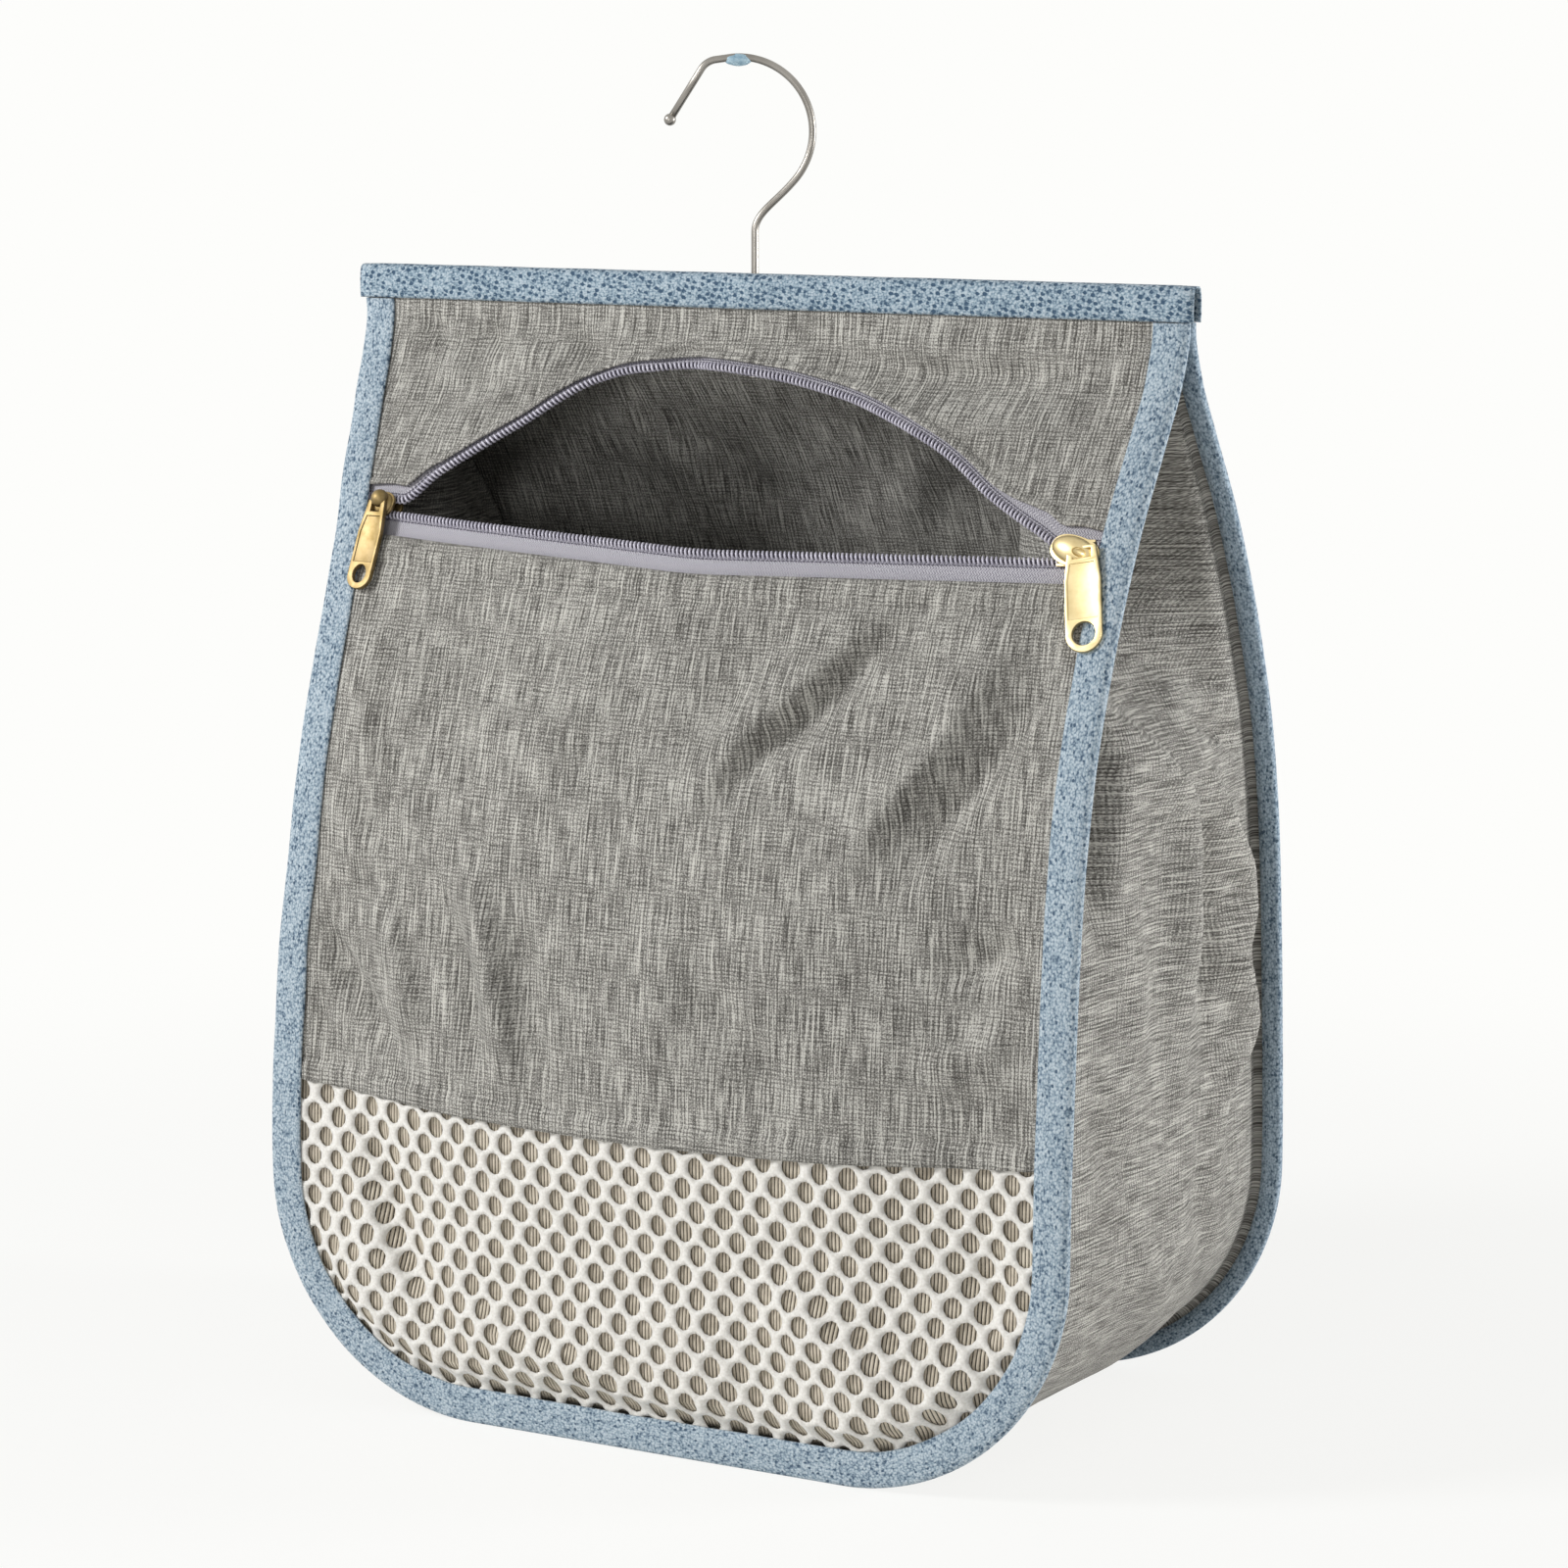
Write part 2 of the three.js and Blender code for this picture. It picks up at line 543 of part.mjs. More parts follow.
// Net panel: staggered rows of six-sided gaps with straight threads between them
function net() {
  const top = (x) => netSeam(x) - seamGap / 2;
  const gapInset = bindingWidth + netBorder;
  const fits = (x, z) => [-1, 1].every((side) => {
    const low = z - netGapHeight / 2;
    return low > gapInset && side * x < side * edge(side, low, gapInset) - netGapWidth / 2;
  }) && z + netGapHeight / 2 < top(x) - netBorder;
  const points = netOutline(top);
  const outline = points.map((_, i) => i);
  const [w, h] = [netGapWidth / 2, netGapHeight / 2];
  const corners = [[0, h], [-w, h / 2], [-w, -h / 2], [0, -h], [w, -h / 2], [w, h / 2]];
  const gaps = new Map();
  for (let row = 0; row * netRow < netHeight; row += 1) {
    for (let place = -Math.ceil(bagWidth / netPitch); place * netPitch < bagWidth; place += 1) {
      const column = 2 * place + (row % 2);
      const [x, z] = [column * netPitch / 2, gapInset + h + row * netRow];
      if (!fits(x, z)) continue;
      gaps.set(`${column} ${row}`, corners.map((_, i) => points.length + i));
      points.push(...corners.map(([dx, dz]) => [x + dx, z + dz]));
    }
  }
  const threads = [];
  const holes = [...gaps.values()];
  for (const [key, gap] of gaps) {
    const [column, row] = key.split(' ').map(Number);
    const right = gaps.get(`${column + 2} ${row}`);
    const upRight = gaps.get(`${column + 1} ${row + 1}`);
    const upLeft = gaps.get(`${column - 1} ${row + 1}`);
    if (right) threads.push([gap[4], right[2], right[1], gap[5]]);
    if (upRight) threads.push([gap[5], upRight[3], upRight[2], gap[0]]);
    if (upLeft) threads.push([gap[0], upLeft[4], upLeft[3], gap[1]]);
    if (right && upRight) threads.push([gap[5], right[1], upRight[3]]);
    if (upLeft && upRight) threads.push([gap[0], upRight[2], upLeft[4]]);
  }
  const next = new Map(openEdges([...threads, ...holes]));
  const loop = [...next.keys()].slice(0, 1);
  while (next.get(loop[loop.length - 1]) !== loop[0]) loop.push(next.get(loop[loop.length - 1]));
  const at = (list) => list.map((i) => new THREE.Vector2(...points[i]));
  const around = [...outline, ...loop];
  const border = rounder(THREE.ShapeUtils.triangulateShape(at(outline), [at(loop)])
    .map((face) => face.map((i) => around[i])), points);
  const faces = [...border, ...threads.flatMap(([a, b, c, d]) => (
    d === undefined ? [[a, b, c]] : [[a, b, c], [a, c, d]]
  ))];
  const walls = openEdges(faces);
  const count = points.length;
  const geometry = new THREE.BufferGeometry();
  const placed = [0.5, -0.5].flatMap((through) => points.map(([x, z]) => (
    onPanel(front, x, z, panelLift + through * netThickness)
  )));
  geometry.setFromPoints(placed);
  geometry.setIndex([
    ...faces.flat(),
    ...faces.flatMap(([a, b, c]) => [a + count, c + count, b + count]),
    ...walls.flatMap(([a, b]) => [b, a, a + count, b, a + count, b + count]),
  ]);
  return faceOut(geometry);
}

function meshLining() {
  return panel(front, flat(bindingWidth + seamGap), (x) => netSeam(x) + netBorder, insideLift - liningSlack,
    liningThickness, zipEndInset);
}

// Zip tape between two heights, inside the cloth that is sewn to it
function zipTape(lowEdge, highEdge) {
  return slab(steps(...zipEnds, zipColumns), [0, 0.5, 1], (x, share, through) => (
    onPanel(front, x, THREE.MathUtils.lerp(lowEdge(x), highEdge(x), share),
      insideLift + through * tapeThickness)
  ));
}

function zipCoil(height) {
  const line = steps(...zipEnds, 2 * zipColumns).map((x) => onPanel(front, x, height(x), insideLift));
  return bar(line, coilRadius, coilSides, zipColumns);
}

// Frame of a slider: X towards the middle of the zip, Z out of the cloth, origin between the coils
function sliderFrame(x, inward) {
  const at = (place, height) => onPanel(front, place, height, insideLift);
  const here = at(x, lowerCoilHeight(x));
  const along = at(x + sliderLength, lowerCoilHeight(x + sliderLength))
    .sub(at(x - sliderLength / 2, lowerCoilHeight(x - sliderLength / 2))).normalize();
  if (inward < 0) {
    along.copy(at(x + sliderLength / 2, lowerCoilHeight(x + sliderLength / 2))
      .sub(at(x - sliderLength, lowerCoilHeight(x - sliderLength))).normalize());
  }
  const down = at(x, lowerCoilHeight(x) - sliderLength / 2).sub(here).normalize();
  const out = new THREE.Vector3().crossVectors(down, along).normalize();
  const up = new THREE.Vector3().crossVectors(out, along);
  const origin = here.clone().addScaledVector(up, coilOffset);
  const basis = new THREE.Matrix4().makeBasis(along, up, out);
  return { origin, basis };
}

const sliderInner = coilRadius + seamGap; // coil's centre to a plate
const sliderHalfWidth = coilOffset + coilRadius + sliderGap + sliderFlange;
const lugHeight = sliderInner + sliderPlate + lugBore + seamGap; // hinge line above the coils

function roundedPlate(length, width, radius, thickness) {
  const [x, y] = [length / 2, width / 2];
  const shape = new THREE.Shape();
  shape.absarc(x - radius, y - radius, radius, 0, Math.PI / 2);
  shape.absarc(radius - x, y - radius, radius, Math.PI / 2, Math.PI);
  shape.absarc(radius - x, radius - y, radius, Math.PI, 1.5 * Math.PI);
  shape.absarc(x - radius, radius - y, radius, 1.5 * Math.PI, 2 * Math.PI);
  return new THREE.ExtrudeGeometry(shape, { depth: thickness, bevelEnabled: false, curveSegments: 2 });
}

function boxAt(width, depth, height, x, y, z) {
  return new THREE.BoxGeometry(width, depth, height).translate(x, y, z);
}

// Two plates joined by a neck between the coils, flanges round the coils, and a lug for the pull
function sliderBody(inward, turn) {
  const plate = () => roundedPlate(sliderLength, 2 * sliderHalfWidth, sliderCorner, sliderPlate);
  const flangeSlit = tapeThickness / 2 + seamGap;
  const flangeHeight = sliderInner - flangeSlit + sliderPlate / 2;
  const flangeLength = sliderLength - 2 * sliderCorner;
  const flanges = [-1, 1].flatMap((up) => [-1, 1].map((out) => boxAt(flangeLength, sliderFlange,
    flangeHeight, 0, up * (sliderHalfWidth - sliderFlange / 2), out * (flangeSlit + flangeHeight / 2))));
  const neckX = inward * (sliderLength / 2 - neckLength);
  const neck = boxAt(neckLength, 2 * neckHalfWidth, 2 * sliderInner + sliderPlate, neckX, 0, 0);
  const lugRadius = lugBore + lugWall;
  const lugFoot = sliderInner + sliderPlate / 2;
  const profile = new THREE.Shape().absarc(0, lugHeight, lugRadius, 0, Math.PI);
  profile.lineTo(-lugRadius, lugFoot).lineTo(lugRadius, lugFoot);
  profile.holes.push(new THREE.Path().absarc(0, lugHeight, lugBore, 0, 2 * Math.PI, true));
  const lug = new THREE.ExtrudeGeometry(profile, { depth: lugWidth, bevelEnabled: false, curveSegments: 6 });
  lug.translate(0, 0, -lugWidth / 2).rotateX(Math.PI / 2).rotateZ(Math.PI / 2).rotateZ(turn);
  return combine(plate().translate(0, 0, sliderInner),
    [plate().translate(0, 0, -sliderInner - sliderPlate), ...flanges, neck, lug]);
}

// Flat pull: a window at the top round the lug, a shallow panel on each face, and an oval hole
function pullBody(length) {
  const barHalf = pullThickness / 2;
  const window = lugWidth + 2 * sliderGap;
  const windowFoot = lugBore + lugWall + sliderGap;
  const neckFoot = windowFoot + barHalf;
  const shoulder = 2 * windowFoot;
  const [top, neckHalf, half] = [barHalf, pullNeckWidth / 2, pullWidth / 2];
  const foot = barHalf - length;
  const shape = new THREE.Shape();
  shape.moveTo(neckHalf, top - barHalf).quadraticCurveTo(neckHalf, top, neckHalf - barHalf, top);
  shape.lineTo(barHalf - neckHalf, top).quadraticCurveTo(-neckHalf, top, -neckHalf, top - barHalf);
  shape.lineTo(-neckHalf, -neckFoot);
  shape.bezierCurveTo(-neckHalf, -shoulder, -half, -shoulder, -half, -1.5 * shoulder);
  shape.lineTo(-half, foot + half).absarc(0, foot + half, half, Math.PI, 2 * Math.PI);
  shape.lineTo(half, -1.5 * shoulder);
  shape.bezierCurveTo(half, -shoulder, neckHalf, -shoulder, neckHalf, -neckFoot);
  shape.holes.push(new THREE.Path([[-window / 2, -barHalf], [window / 2, -barHalf],
    [window / 2, -windowFoot], [-window / 2, -windowFoot]].map(([x, y]) => new THREE.Vector2(x, y))));
  const holeY = foot + pullHoleEdge + pullHoleHeight / 2;
  shape.holes.push(new THREE.Path().absellipse(0, holeY, pullHoleWidth / 2, pullHoleHeight / 2,
    0, 2 * Math.PI, true, 0));
  const plate = new THREE.ExtrudeGeometry(shape, {
    depth: pullThickness, bevelEnabled: false, curveSegments: 5,
  }).translate(0, 0, -barHalf);
  const recessTop = -1.5 * shoulder;
  const recessFoot = holeY + pullHoleHeight / 2 + pullRim;
  const recess = (z) => boxAt(pullWidth - 2 * pullRim, recessTop - recessFoot, 2 * pullRecess,
    0, (recessTop + recessFoot) / 2, z);
  return combine(plate, [], [recess(barHalf), recess(-barHalf)]);
}

// A slider on the chain and its pull, hanging against the cloth below
function zipSlider(name, x, inward, pullLength, turnDegrees) {
  const { origin, basis } = sliderFrame(x, inward);
  const turn = THREE.MathUtils.degToRad(turnDegrees);
  const group = new THREE.Group();
  group.position.copy(origin);
  group.quaternion.setFromRotationMatrix(basis);
  group.add(node(`zip_slider_${name}`, sliderBody(inward, turn), brass));
  const pull = node(`zip_pull_${name}`, pullBody(pullLength), brass);
  pull.position.set(0, 0, lugHeight);
  pull.rotation.order = 'ZXY';
  pull.rotation.z = turn;
  pull.rotation.x = restAngle(origin, basis, pullLength, turn);
  group.add(pull);
  return group;
}

// Angle at which the foot of a pull comes to rest just clear of the cloth or the binding
function restAngle(origin, basis, pullLength, turn) {
  const axes = [0, 1, 2].map((i) => new THREE.Vector3().setFromMatrixColumn(basis, i));
  const hinge = origin.clone().addScaledVector(axes[2], lugHeight);
  const down = axes[0].clone().multiplyScalar(Math.sin(turn)).addScaledVector(axes[1], -Math.cos(turn));
  const foot = hinge.clone().addScaledVector(down, pullLength);
  const overBinding = foot.x + pullWidth / 2 > edge(1, foot.z, bindingWidth)
    || foot.x - pullWidth / 2 < edge(-1, foot.z, bindingWidth);
  const skin = overBinding ? legOuter : panelLift + clothThickness / 2;
  const rest = onPanel(front, foot.x, foot.z, skin + seamGap + pullThickness / 2);
  const fall = hinge.clone().sub(rest).dot(axes[2]);
  return Math.asin(THREE.MathUtils.clamp(fall / pullLength, 0, 1));
}

// Heights of the swivel, from the bar down
const barTop = topBindingFoot - barDrop;
const barFoot = barTop - barHeight;
const bossTop = barFoot + bossOverlap;
const bossFoot = bossTop - bossHeight;
const bushTop = bossFoot + bushLength;
const washerTop = bossFoot - seamGap;
const collarTop = washerTop - washerThickness - seamGap;
const stemFoot = collarTop - collarHeight;

function hangerBar() {
  const cylinder = (radius, from, to) => {
    const upright = new THREE.CylinderGeometry(radius, radius, to - from, roundSides);
    return upright.rotateX(Math.PI / 2).translate(hookOffset, 0, (from + to) / 2);
  };
  const strip = roundedPlate(barLength, barHeight, barHeight / 3, barThickness)
    .translate(0, 0, -barThickness / 2).rotateX(Math.PI / 2).translate(0, 0, (barTop + barFoot) / 2);
  return combine(strip, [cylinder(bossRadius, bossFoot, bossTop)], [
    cylinder(bushRadius + seamGap, bossFoot - barDrop, bushTop + seamGap),
    cylinder(boreRadius, bossFoot, barTop + barDrop),
  ]);
}

// Line of the hook in its own upright plane: stem, easy bend, and round to the tip
const hookCentreHeight = hookCrown - hookRadius;
const hookLine = (() => {
  const start = THREE.MathUtils.degToRad(hookStartAngle);
  const end = THREE.MathUtils.degToRad(hookEndAngle);
  const bendX = hookCentreOffset + hookRadius * Math.cos(start);
  const bendZ = hookCentreHeight + hookRadius * Math.sin(start);
  const line = new THREE.Path();
  line.moveTo(0, stemFoot - bagHeight).lineTo(0, hookStraight);
  line.bezierCurveTo(0, hookStraight + hookEase, bendX + hookEase * Math.sin(start),
    bendZ - hookEase * Math.cos(start), bendX, bendZ);
  line.absarc(hookCentreOffset, hookCentreHeight, hookRadius, start, end);
  return line.getSpacedPoints(2 * wireSteps).map((p) => new THREE.Vector3(p.x, 0, p.y));
})();

function hookWire() {
  const tip = new THREE.SphereGeometry(hookTipRadius, roundSides, wireSides);
  const end = hookLine[hookLine.length - 1];
  tip.translate(end.x, end.y, end.z);
  return combine(bar(hookLine, wireRadius, wireSides, wireSteps), [tip]);
}

function hookSleeve() {
  const arc = steps(...sleeveAngles, wireSides).map((degrees) => {
    const angle = THREE.MathUtils.degToRad(degrees);
    return new THREE.Vector3(hookCentreOffset + hookRadius * Math.cos(angle), 0,
      hookCentreHeight + hookRadius * Math.sin(angle));
  });
  return bar(arc, boreRadius + sleeveWall, roundSides, sleeveSteps, boreRadius);
}

function hook() {
  const group = new THREE.Group();
  group.position.set(hookOffset, 0, bagHeight);
  group.rotation.z = THREE.MathUtils.degToRad(hookTurn);
  const washer = node('swivel_washer', ring(washerRadius, boreRadius, washerThickness), steel);
  washer.position.z = washerTop - washerThickness - bagHeight;
  const collar = node('hook_collar', ring(collarRadius, boreRadius, collarHeight), steel);
  collar.position.z = collarTop - collarHeight - bagHeight;
  group.add(node('hook_wire', hookWire(), steel), node('hook_sleeve', hookSleeve(), sleeveBlue),
    washer, collar);
  return group;
}

const bag = new THREE.Group();
bag.name = 'peg_bag';
const bush = node('swivel_bush', ring(bushRadius, boreRadius, bushLength - seamGap), nylon);
bush.position.set(hookOffset, 0, bossFoot + seamGap);
bag.add(
  node('back_panel', panel(back, flat(edgeInset), flat(clothTop), panelLift, clothThickness, edgeInset,
    clothColumns / 2), clothGrey),
  node('front_top_panel', panel(front, upperClothEdge, flat(clothTop), panelLift, clothThickness,
    edgeInset, 2 * clothColumns), clothGrey),
  node('front_middle_panel', panel(front, (x) => netSeam(x) + seamGap / 2, lowerClothEdge, panelLift,
    clothThickness, edgeInset), clothGrey),
  node('mesh_panel', net(), netWhite),
  node('mesh_lining', meshLining(), clothGrey),
  node('side_gusset', gusset(), clothGrey),
  node('front_binding', binding(front), bindingBlue),
  node('back_binding', binding(back), bindingBlue),
  node('top_binding', topBinding(), bindingBlue),
  node('zip_tape_lower', zipTape((x) => lowerCoilHeight(x) - (tapeStart + zipTapeWidth) * downPanel,
    (x) => lowerCoilHeight(x) - tapeStart * downPanel), zipLilac),
  node('zip_tape_upper', zipTape((x) => upperCoilHeight(x) + tapeStart * squareToArch(x),
    (x) => upperCoilHeight(x) + (tapeStart + zipTapeWidth) * squareToArch(x)), zipLilac),
  node('zip_coil_lower', zipCoil(lowerCoilHeight), zipLilac),
  node('zip_coil_upper', zipCoil(upperCoilHeight), zipLilac),
  zipSlider('left', leftSliderX, 1, leftPullLength, leftPullTurn),
  zipSlider('right', rightSliderX, -1, rightPullLength, rightPullTurn),
  node('hanger_bar', hangerBar(), nylon),
  bush,
  hook(),
);

export default bag;
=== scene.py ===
import json
import math
import bmesh
import bpy
from mathutils import Matrix, Vector, noise


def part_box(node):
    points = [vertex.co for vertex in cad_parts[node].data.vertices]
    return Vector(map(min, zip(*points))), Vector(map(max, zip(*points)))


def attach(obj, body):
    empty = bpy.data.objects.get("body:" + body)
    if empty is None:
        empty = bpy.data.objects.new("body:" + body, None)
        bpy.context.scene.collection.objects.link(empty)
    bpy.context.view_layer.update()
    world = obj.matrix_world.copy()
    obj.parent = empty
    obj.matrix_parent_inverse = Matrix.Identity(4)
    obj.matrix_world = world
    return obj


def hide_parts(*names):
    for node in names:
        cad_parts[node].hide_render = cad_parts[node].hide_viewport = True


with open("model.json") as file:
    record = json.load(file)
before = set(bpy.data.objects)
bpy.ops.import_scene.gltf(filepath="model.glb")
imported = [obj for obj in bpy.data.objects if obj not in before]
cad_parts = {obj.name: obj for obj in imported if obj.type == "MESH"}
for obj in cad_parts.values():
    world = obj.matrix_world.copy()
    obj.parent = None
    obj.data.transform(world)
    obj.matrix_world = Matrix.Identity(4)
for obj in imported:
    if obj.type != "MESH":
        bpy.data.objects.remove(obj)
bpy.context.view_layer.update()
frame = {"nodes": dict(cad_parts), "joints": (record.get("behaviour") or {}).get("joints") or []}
print("frame loaded")

mm = 0.001
front, back = -1, 1
reach = 0.7  # slopes are measured over this many millimetres to either side

# The bag as it was cut and sewn, in millimetres
bag = {
    "width": 281,
    "height": 342,
    "depth": 148,
    "corner": 72,
    "leftTuck": 17,
    "belly": 11,
    "stripBelly": 4,
    "bellyInset": 24,
    "seamInset": 8.5,
    "bindingInset": 10.5,
    "topHalfDepth": 1.8,
    "cloth": 0.6,
    "panelLift": 0.45,
    "looseFrom": (10, 24),  # folds rise from the first to the second distance from the outline
    "looseBeyond": 2,  # the floor and the top count as this much further off
}

# Side profile, swell and left edge, as shares of the height and of what they scale
profileShares = [(0, 1), (0.22, 1), (0.35, 0.975), (0.5, 0.92), (0.6, 0.835), (0.7, 0.672),
                 (0.8, 0.44), (0.88, 0.19), (0.92, 0.07), (0.965, 0), (1, 0)]
bellyShares = [(0, 0), (0.058, 0), (0.13, 0.42), (0.22, 0.84), (0.33, 1), (0.6, 0.9),
               (0.69, 0.73), (0.81, 0.73), (0.965, 0), (1, 0)]
tuckShares = [(0, 0.65), (0.24, 0.65), (0.4, 0.74), (0.5, 0.9), (0.65, 0.98), (0.75, 0.87),
              (0.84, 0.5), (0.92, 0.14), (1, 0)]
drawnShares = (0.44, 0.69)  # from here to here the front goes from round to drawn straight

zipLine = {
    "height": 268.5,
    "sag": 4,
    "rightDrop": 2.2,
    "middle": 5,
    "middleSoftness": 8,
    "rise": 46,
    "tapeStart": 1.6,
    "tapeWidth": 9.5,
    "lowerTapeShow": 5.5,
    "coilOffset": 2.6,
    "leftSliderInset": 16.2,
    "rightSliderInset": 17.5,
    "sliderLength": 10.5,
}
archShares = [(-1, 0), (-0.9, 0.2), (-0.7, 0.54), (-0.5, 0.86), (-0.37, 0.95), (-0.15, 1), (0, 0.98),
              (0.2, 0.89), (0.42, 0.735), (0.6, 0.55), (0.78, 0.27), (0.92, 0.09), (1, 0)]
# Millimetres of tape between the upper coil and the flap, along the same places
upperTapeShow = [(-1.12, 1.9), (-1.03, 2.9), (-0.96, 1.7), (-0.88, 0.2), (-0.6, 0.2), (-0.3, 0.6), (0, 0.8),
                 (0.5, 0.6), (0.75, 0.6), (0.83, 1.4), (0.9, 3.0), (0.97, 3.9), (1.04, 3.9), (1.1, 2.8)]


def clamp(x, low=0.0, high=1.0):
    return max(low, min(high, x))


def ease(x, low=0.0, high=1.0):
    t = clamp((x - low) / (high - low))
    return t * t * (3 - 2 * t)


def steps(low, high, count):
    return [low + (high - low) * i / count for i in range(count + 1)]


# Smooth unevenness from -1 to 1; each seed gives another one
def uneven(x, z, seed):
    return noise.noise(Vector((x, z, seed)))


# How far along a line each of its places lies
def distancesAlong(line):
    walked = {line[0]: 0}
    for here, there in zip(line, line[1:]):
        walked[there] = walked[here] + math.dist(here[:2], there[:2])
    return walked


# A smooth line through a table, which never overshoots its points
def follow(table, x):
    if x <= table[0][0]:
        return table[0][1]
    if x >= table[-1][0]:
        return table[-1][1]
    i = next(k for k in range(len(table) - 1) if x <= table[k + 1][0])

    def secant(k):
        return (table[k + 1][1] - table[k][1]) / (table[k + 1][0] - table[k][0])

    def slope(k):
        if k in (0, len(table) - 1):
            return 0
        before, after = secant(k - 1), secant(k)
        return 0 if before * after <= 0 else 2 * before * after / (before + after)

    span = table[i + 1][0] - table[i][0]
    t = (x - table[i][0]) / span
    rise = 3 * t * t - 2 * t ** 3
    ends = slope(i) * (t ** 3 - 2 * t * t + t) + slope(i + 1) * (t ** 3 - t * t)
    return table[i][1] * (1 - rise) + table[i + 1][1] * rise + span * ends


# The tables are asked for at the same heights again and again, so their answers are kept
known = {}


def shareAt(table, x):
    key = (id(table), round(x, 5))
    if key not in known:
        known[key] = follow(table, x)
    return known[key]


def halfDepth(z):
    top = bag["topHalfDepth"]
    return top + (bag["depth"] / 2 - top) * shareAt(profileShares, z / bag["height"])


def lean(z):
    return math.atan2(halfDepth(z - reach) - halfDepth(z + reach), 2 * reach)


# Outer edge of the bindings at a height, moved inwards by an inset
def edge(side, z, inset=0.0):
    tuck = 0
    if side < 0:
        tuck = bag["leftTuck"] * shareAt(tuckShares, max(z, bag["corner"]) / bag["height"])
    outer = bag["width"] / 2 - tuck
    if z >= bag["corner"]:
        return side * (outer - inset)
    radius = bag["corner"] - inset
    drop = min(bag["corner"] - z, radius)
    return side * (outer - bag["corner"] + math.sqrt(radius * radius - drop * drop))


# Middle of the round corner on a side
def cornerX(side):
    return edge(side, bag["corner"]) - side * bag["corner"]


tentEnds = [edge(side, zipLine["height"], bag["bindingInset"]) for side in (-1, 1)]


# 1 at the middle of the zip, falling in straight lines to its ends
def tent(x):
    middle, soft = zipLine["middle"], zipLine["middleSoftness"]
    run = middle - tentEnds[0] if x < middle else tentEnds[1] - middle
    away = abs(x - middle)
    if away < soft:
        away = (away * away + soft * soft) / (2 * soft)
    return max(0, 1 - away / run)


# How far a panel stands out from its seams: round low down, and drawn straight to the zip on the front
def swell(side, x, z):
    level = z / bag["height"]
    low, high = edge(-1, z, bag["bellyInset"]), edge(1, z, bag["bellyInset"])
    across = clamp((2 * x - low - high) / (high - low), -1, 1)
    drawn = ease(level, *drawnShares) if side == front else 0
    shape = drawn * tent(x) + (1 - drawn) * ease(1 - across * across)
    return bag["belly"] * shareAt(bellyShares, level) * shape


# Folds as (points along the crease, half width, rise) in millimetres: a negative rise is a valley
frontFolds = [
    # wrinkles of the flap under the top hem
    ([(6, 333), (4, 326), (2, 318)], 3.0, -0.9),
    ([(-34, 318), (-22, 317), (-10, 318)], 3.4, -2.2),
    ([(6, 328), (28, 319), (45, 316), (62, 314), (124, 315)], 5.5, -2.6),
    ([(24, 332), (60, 327), (122, 326)], 5.0, 1.6),
    ([(34, 305), (80, 302), (122, 303)], 6.0, 1.6),
    ([(-119, 329), (-112, 323), (-105, 317)], 3.4, -1.8),
    ([(-97, 327), (-85, 315)], 3.4, -2.0),
    ([(-65, 326), (-54, 317), (-44, 311)], 3.8, -2.2),
    ([(-106, 318), (-94, 302)], 4.0, 1.3),
    ([(-78, 322), (-64, 306)], 4.0, 1.3),
    ([(-122, 303), (-84, 306), (-60, 298)], 6.0, -1.3),
    # cloth drawn down from the right end of the zip
    ([(86, 256), (60, 229), (54, 220), (40, 210), (26, 188)], 5.5, -3.6),
    ([(74, 256), (48, 229), (31, 212), (14, 184)], 5.5, 2.8),
    ([(127, 249), (118, 228), (109, 210), (99, 197), (80, 166)], 6.0, -3.6),
    ([(118, 260), (104, 237), (93, 216), (79, 196), (62, 166)], 6.0, 3.0),
    ([(44, 256), (26, 226), (8, 196)], 7.0, -1.8),
    ([(-10, 252), (-18, 224), (-34, 188)], 8.0, 1.5),
    ([(-60, 256), (-68, 220), (-64, 184)], 9.0, -1.3),
    ([(-112, 248), (-100, 214), (-96, 180)], 8.0, 1.4),
    # creases above the left end of the lower hem
    ([(-56, 184), (-46, 149), (-40, 124), (-35, 100)], 4.6, 2.8),
    ([(-74, 174), (-60, 150), (-53, 132), (-49, 100)], 5.2, -2.6),
    ([(-38, 172), (-29, 125), (-21, 99)], 5.2, -2.4),
    ([(-124, 160), (-97, 128), (-72, 102)], 4.8, -3.0),
    ([(-124, 146), (-116, 128), (-106, 104)], 4.4, -2.2),
    ([(-92, 164), (-80, 138), (-70, 112)], 5.6, 2.6),
    ([(-116, 198), (-100, 174), (-84, 158)], 7.0, 1.8),
    # right of the middle
    ([(132, 166), (112, 155), (92, 149)], 5.0, -2.2),
    ([(88, 123), (108, 130), (128, 139)], 6.0, 2.0),
    ([(20, 150), (44, 128), (56, 104)], 8.0, -1.5),
    ([(6, 170), (18, 140), (16, 108)], 8.0, 1.4),
    # the net
    ([(-108, 98), (-98, 74), (-88, 48), (-66, 24)], 6.5, 1.9),
    ([(-98, 100), (-88, 76), (-74, 46), (-50, 22)], 5.2, -1.7),
    ([(-66, 42), (-36, 27), (4, 22)], 6.0, 2.2),
    ([(-50, 30), (-20, 18), (16, 14)], 4.6, -1.8),
    ([(40, 62), (76, 40), (104, 30)], 8.0, 1.8),
    ([(112, 88), (118, 58), (110, 30)], 6.0, -1.8),
]
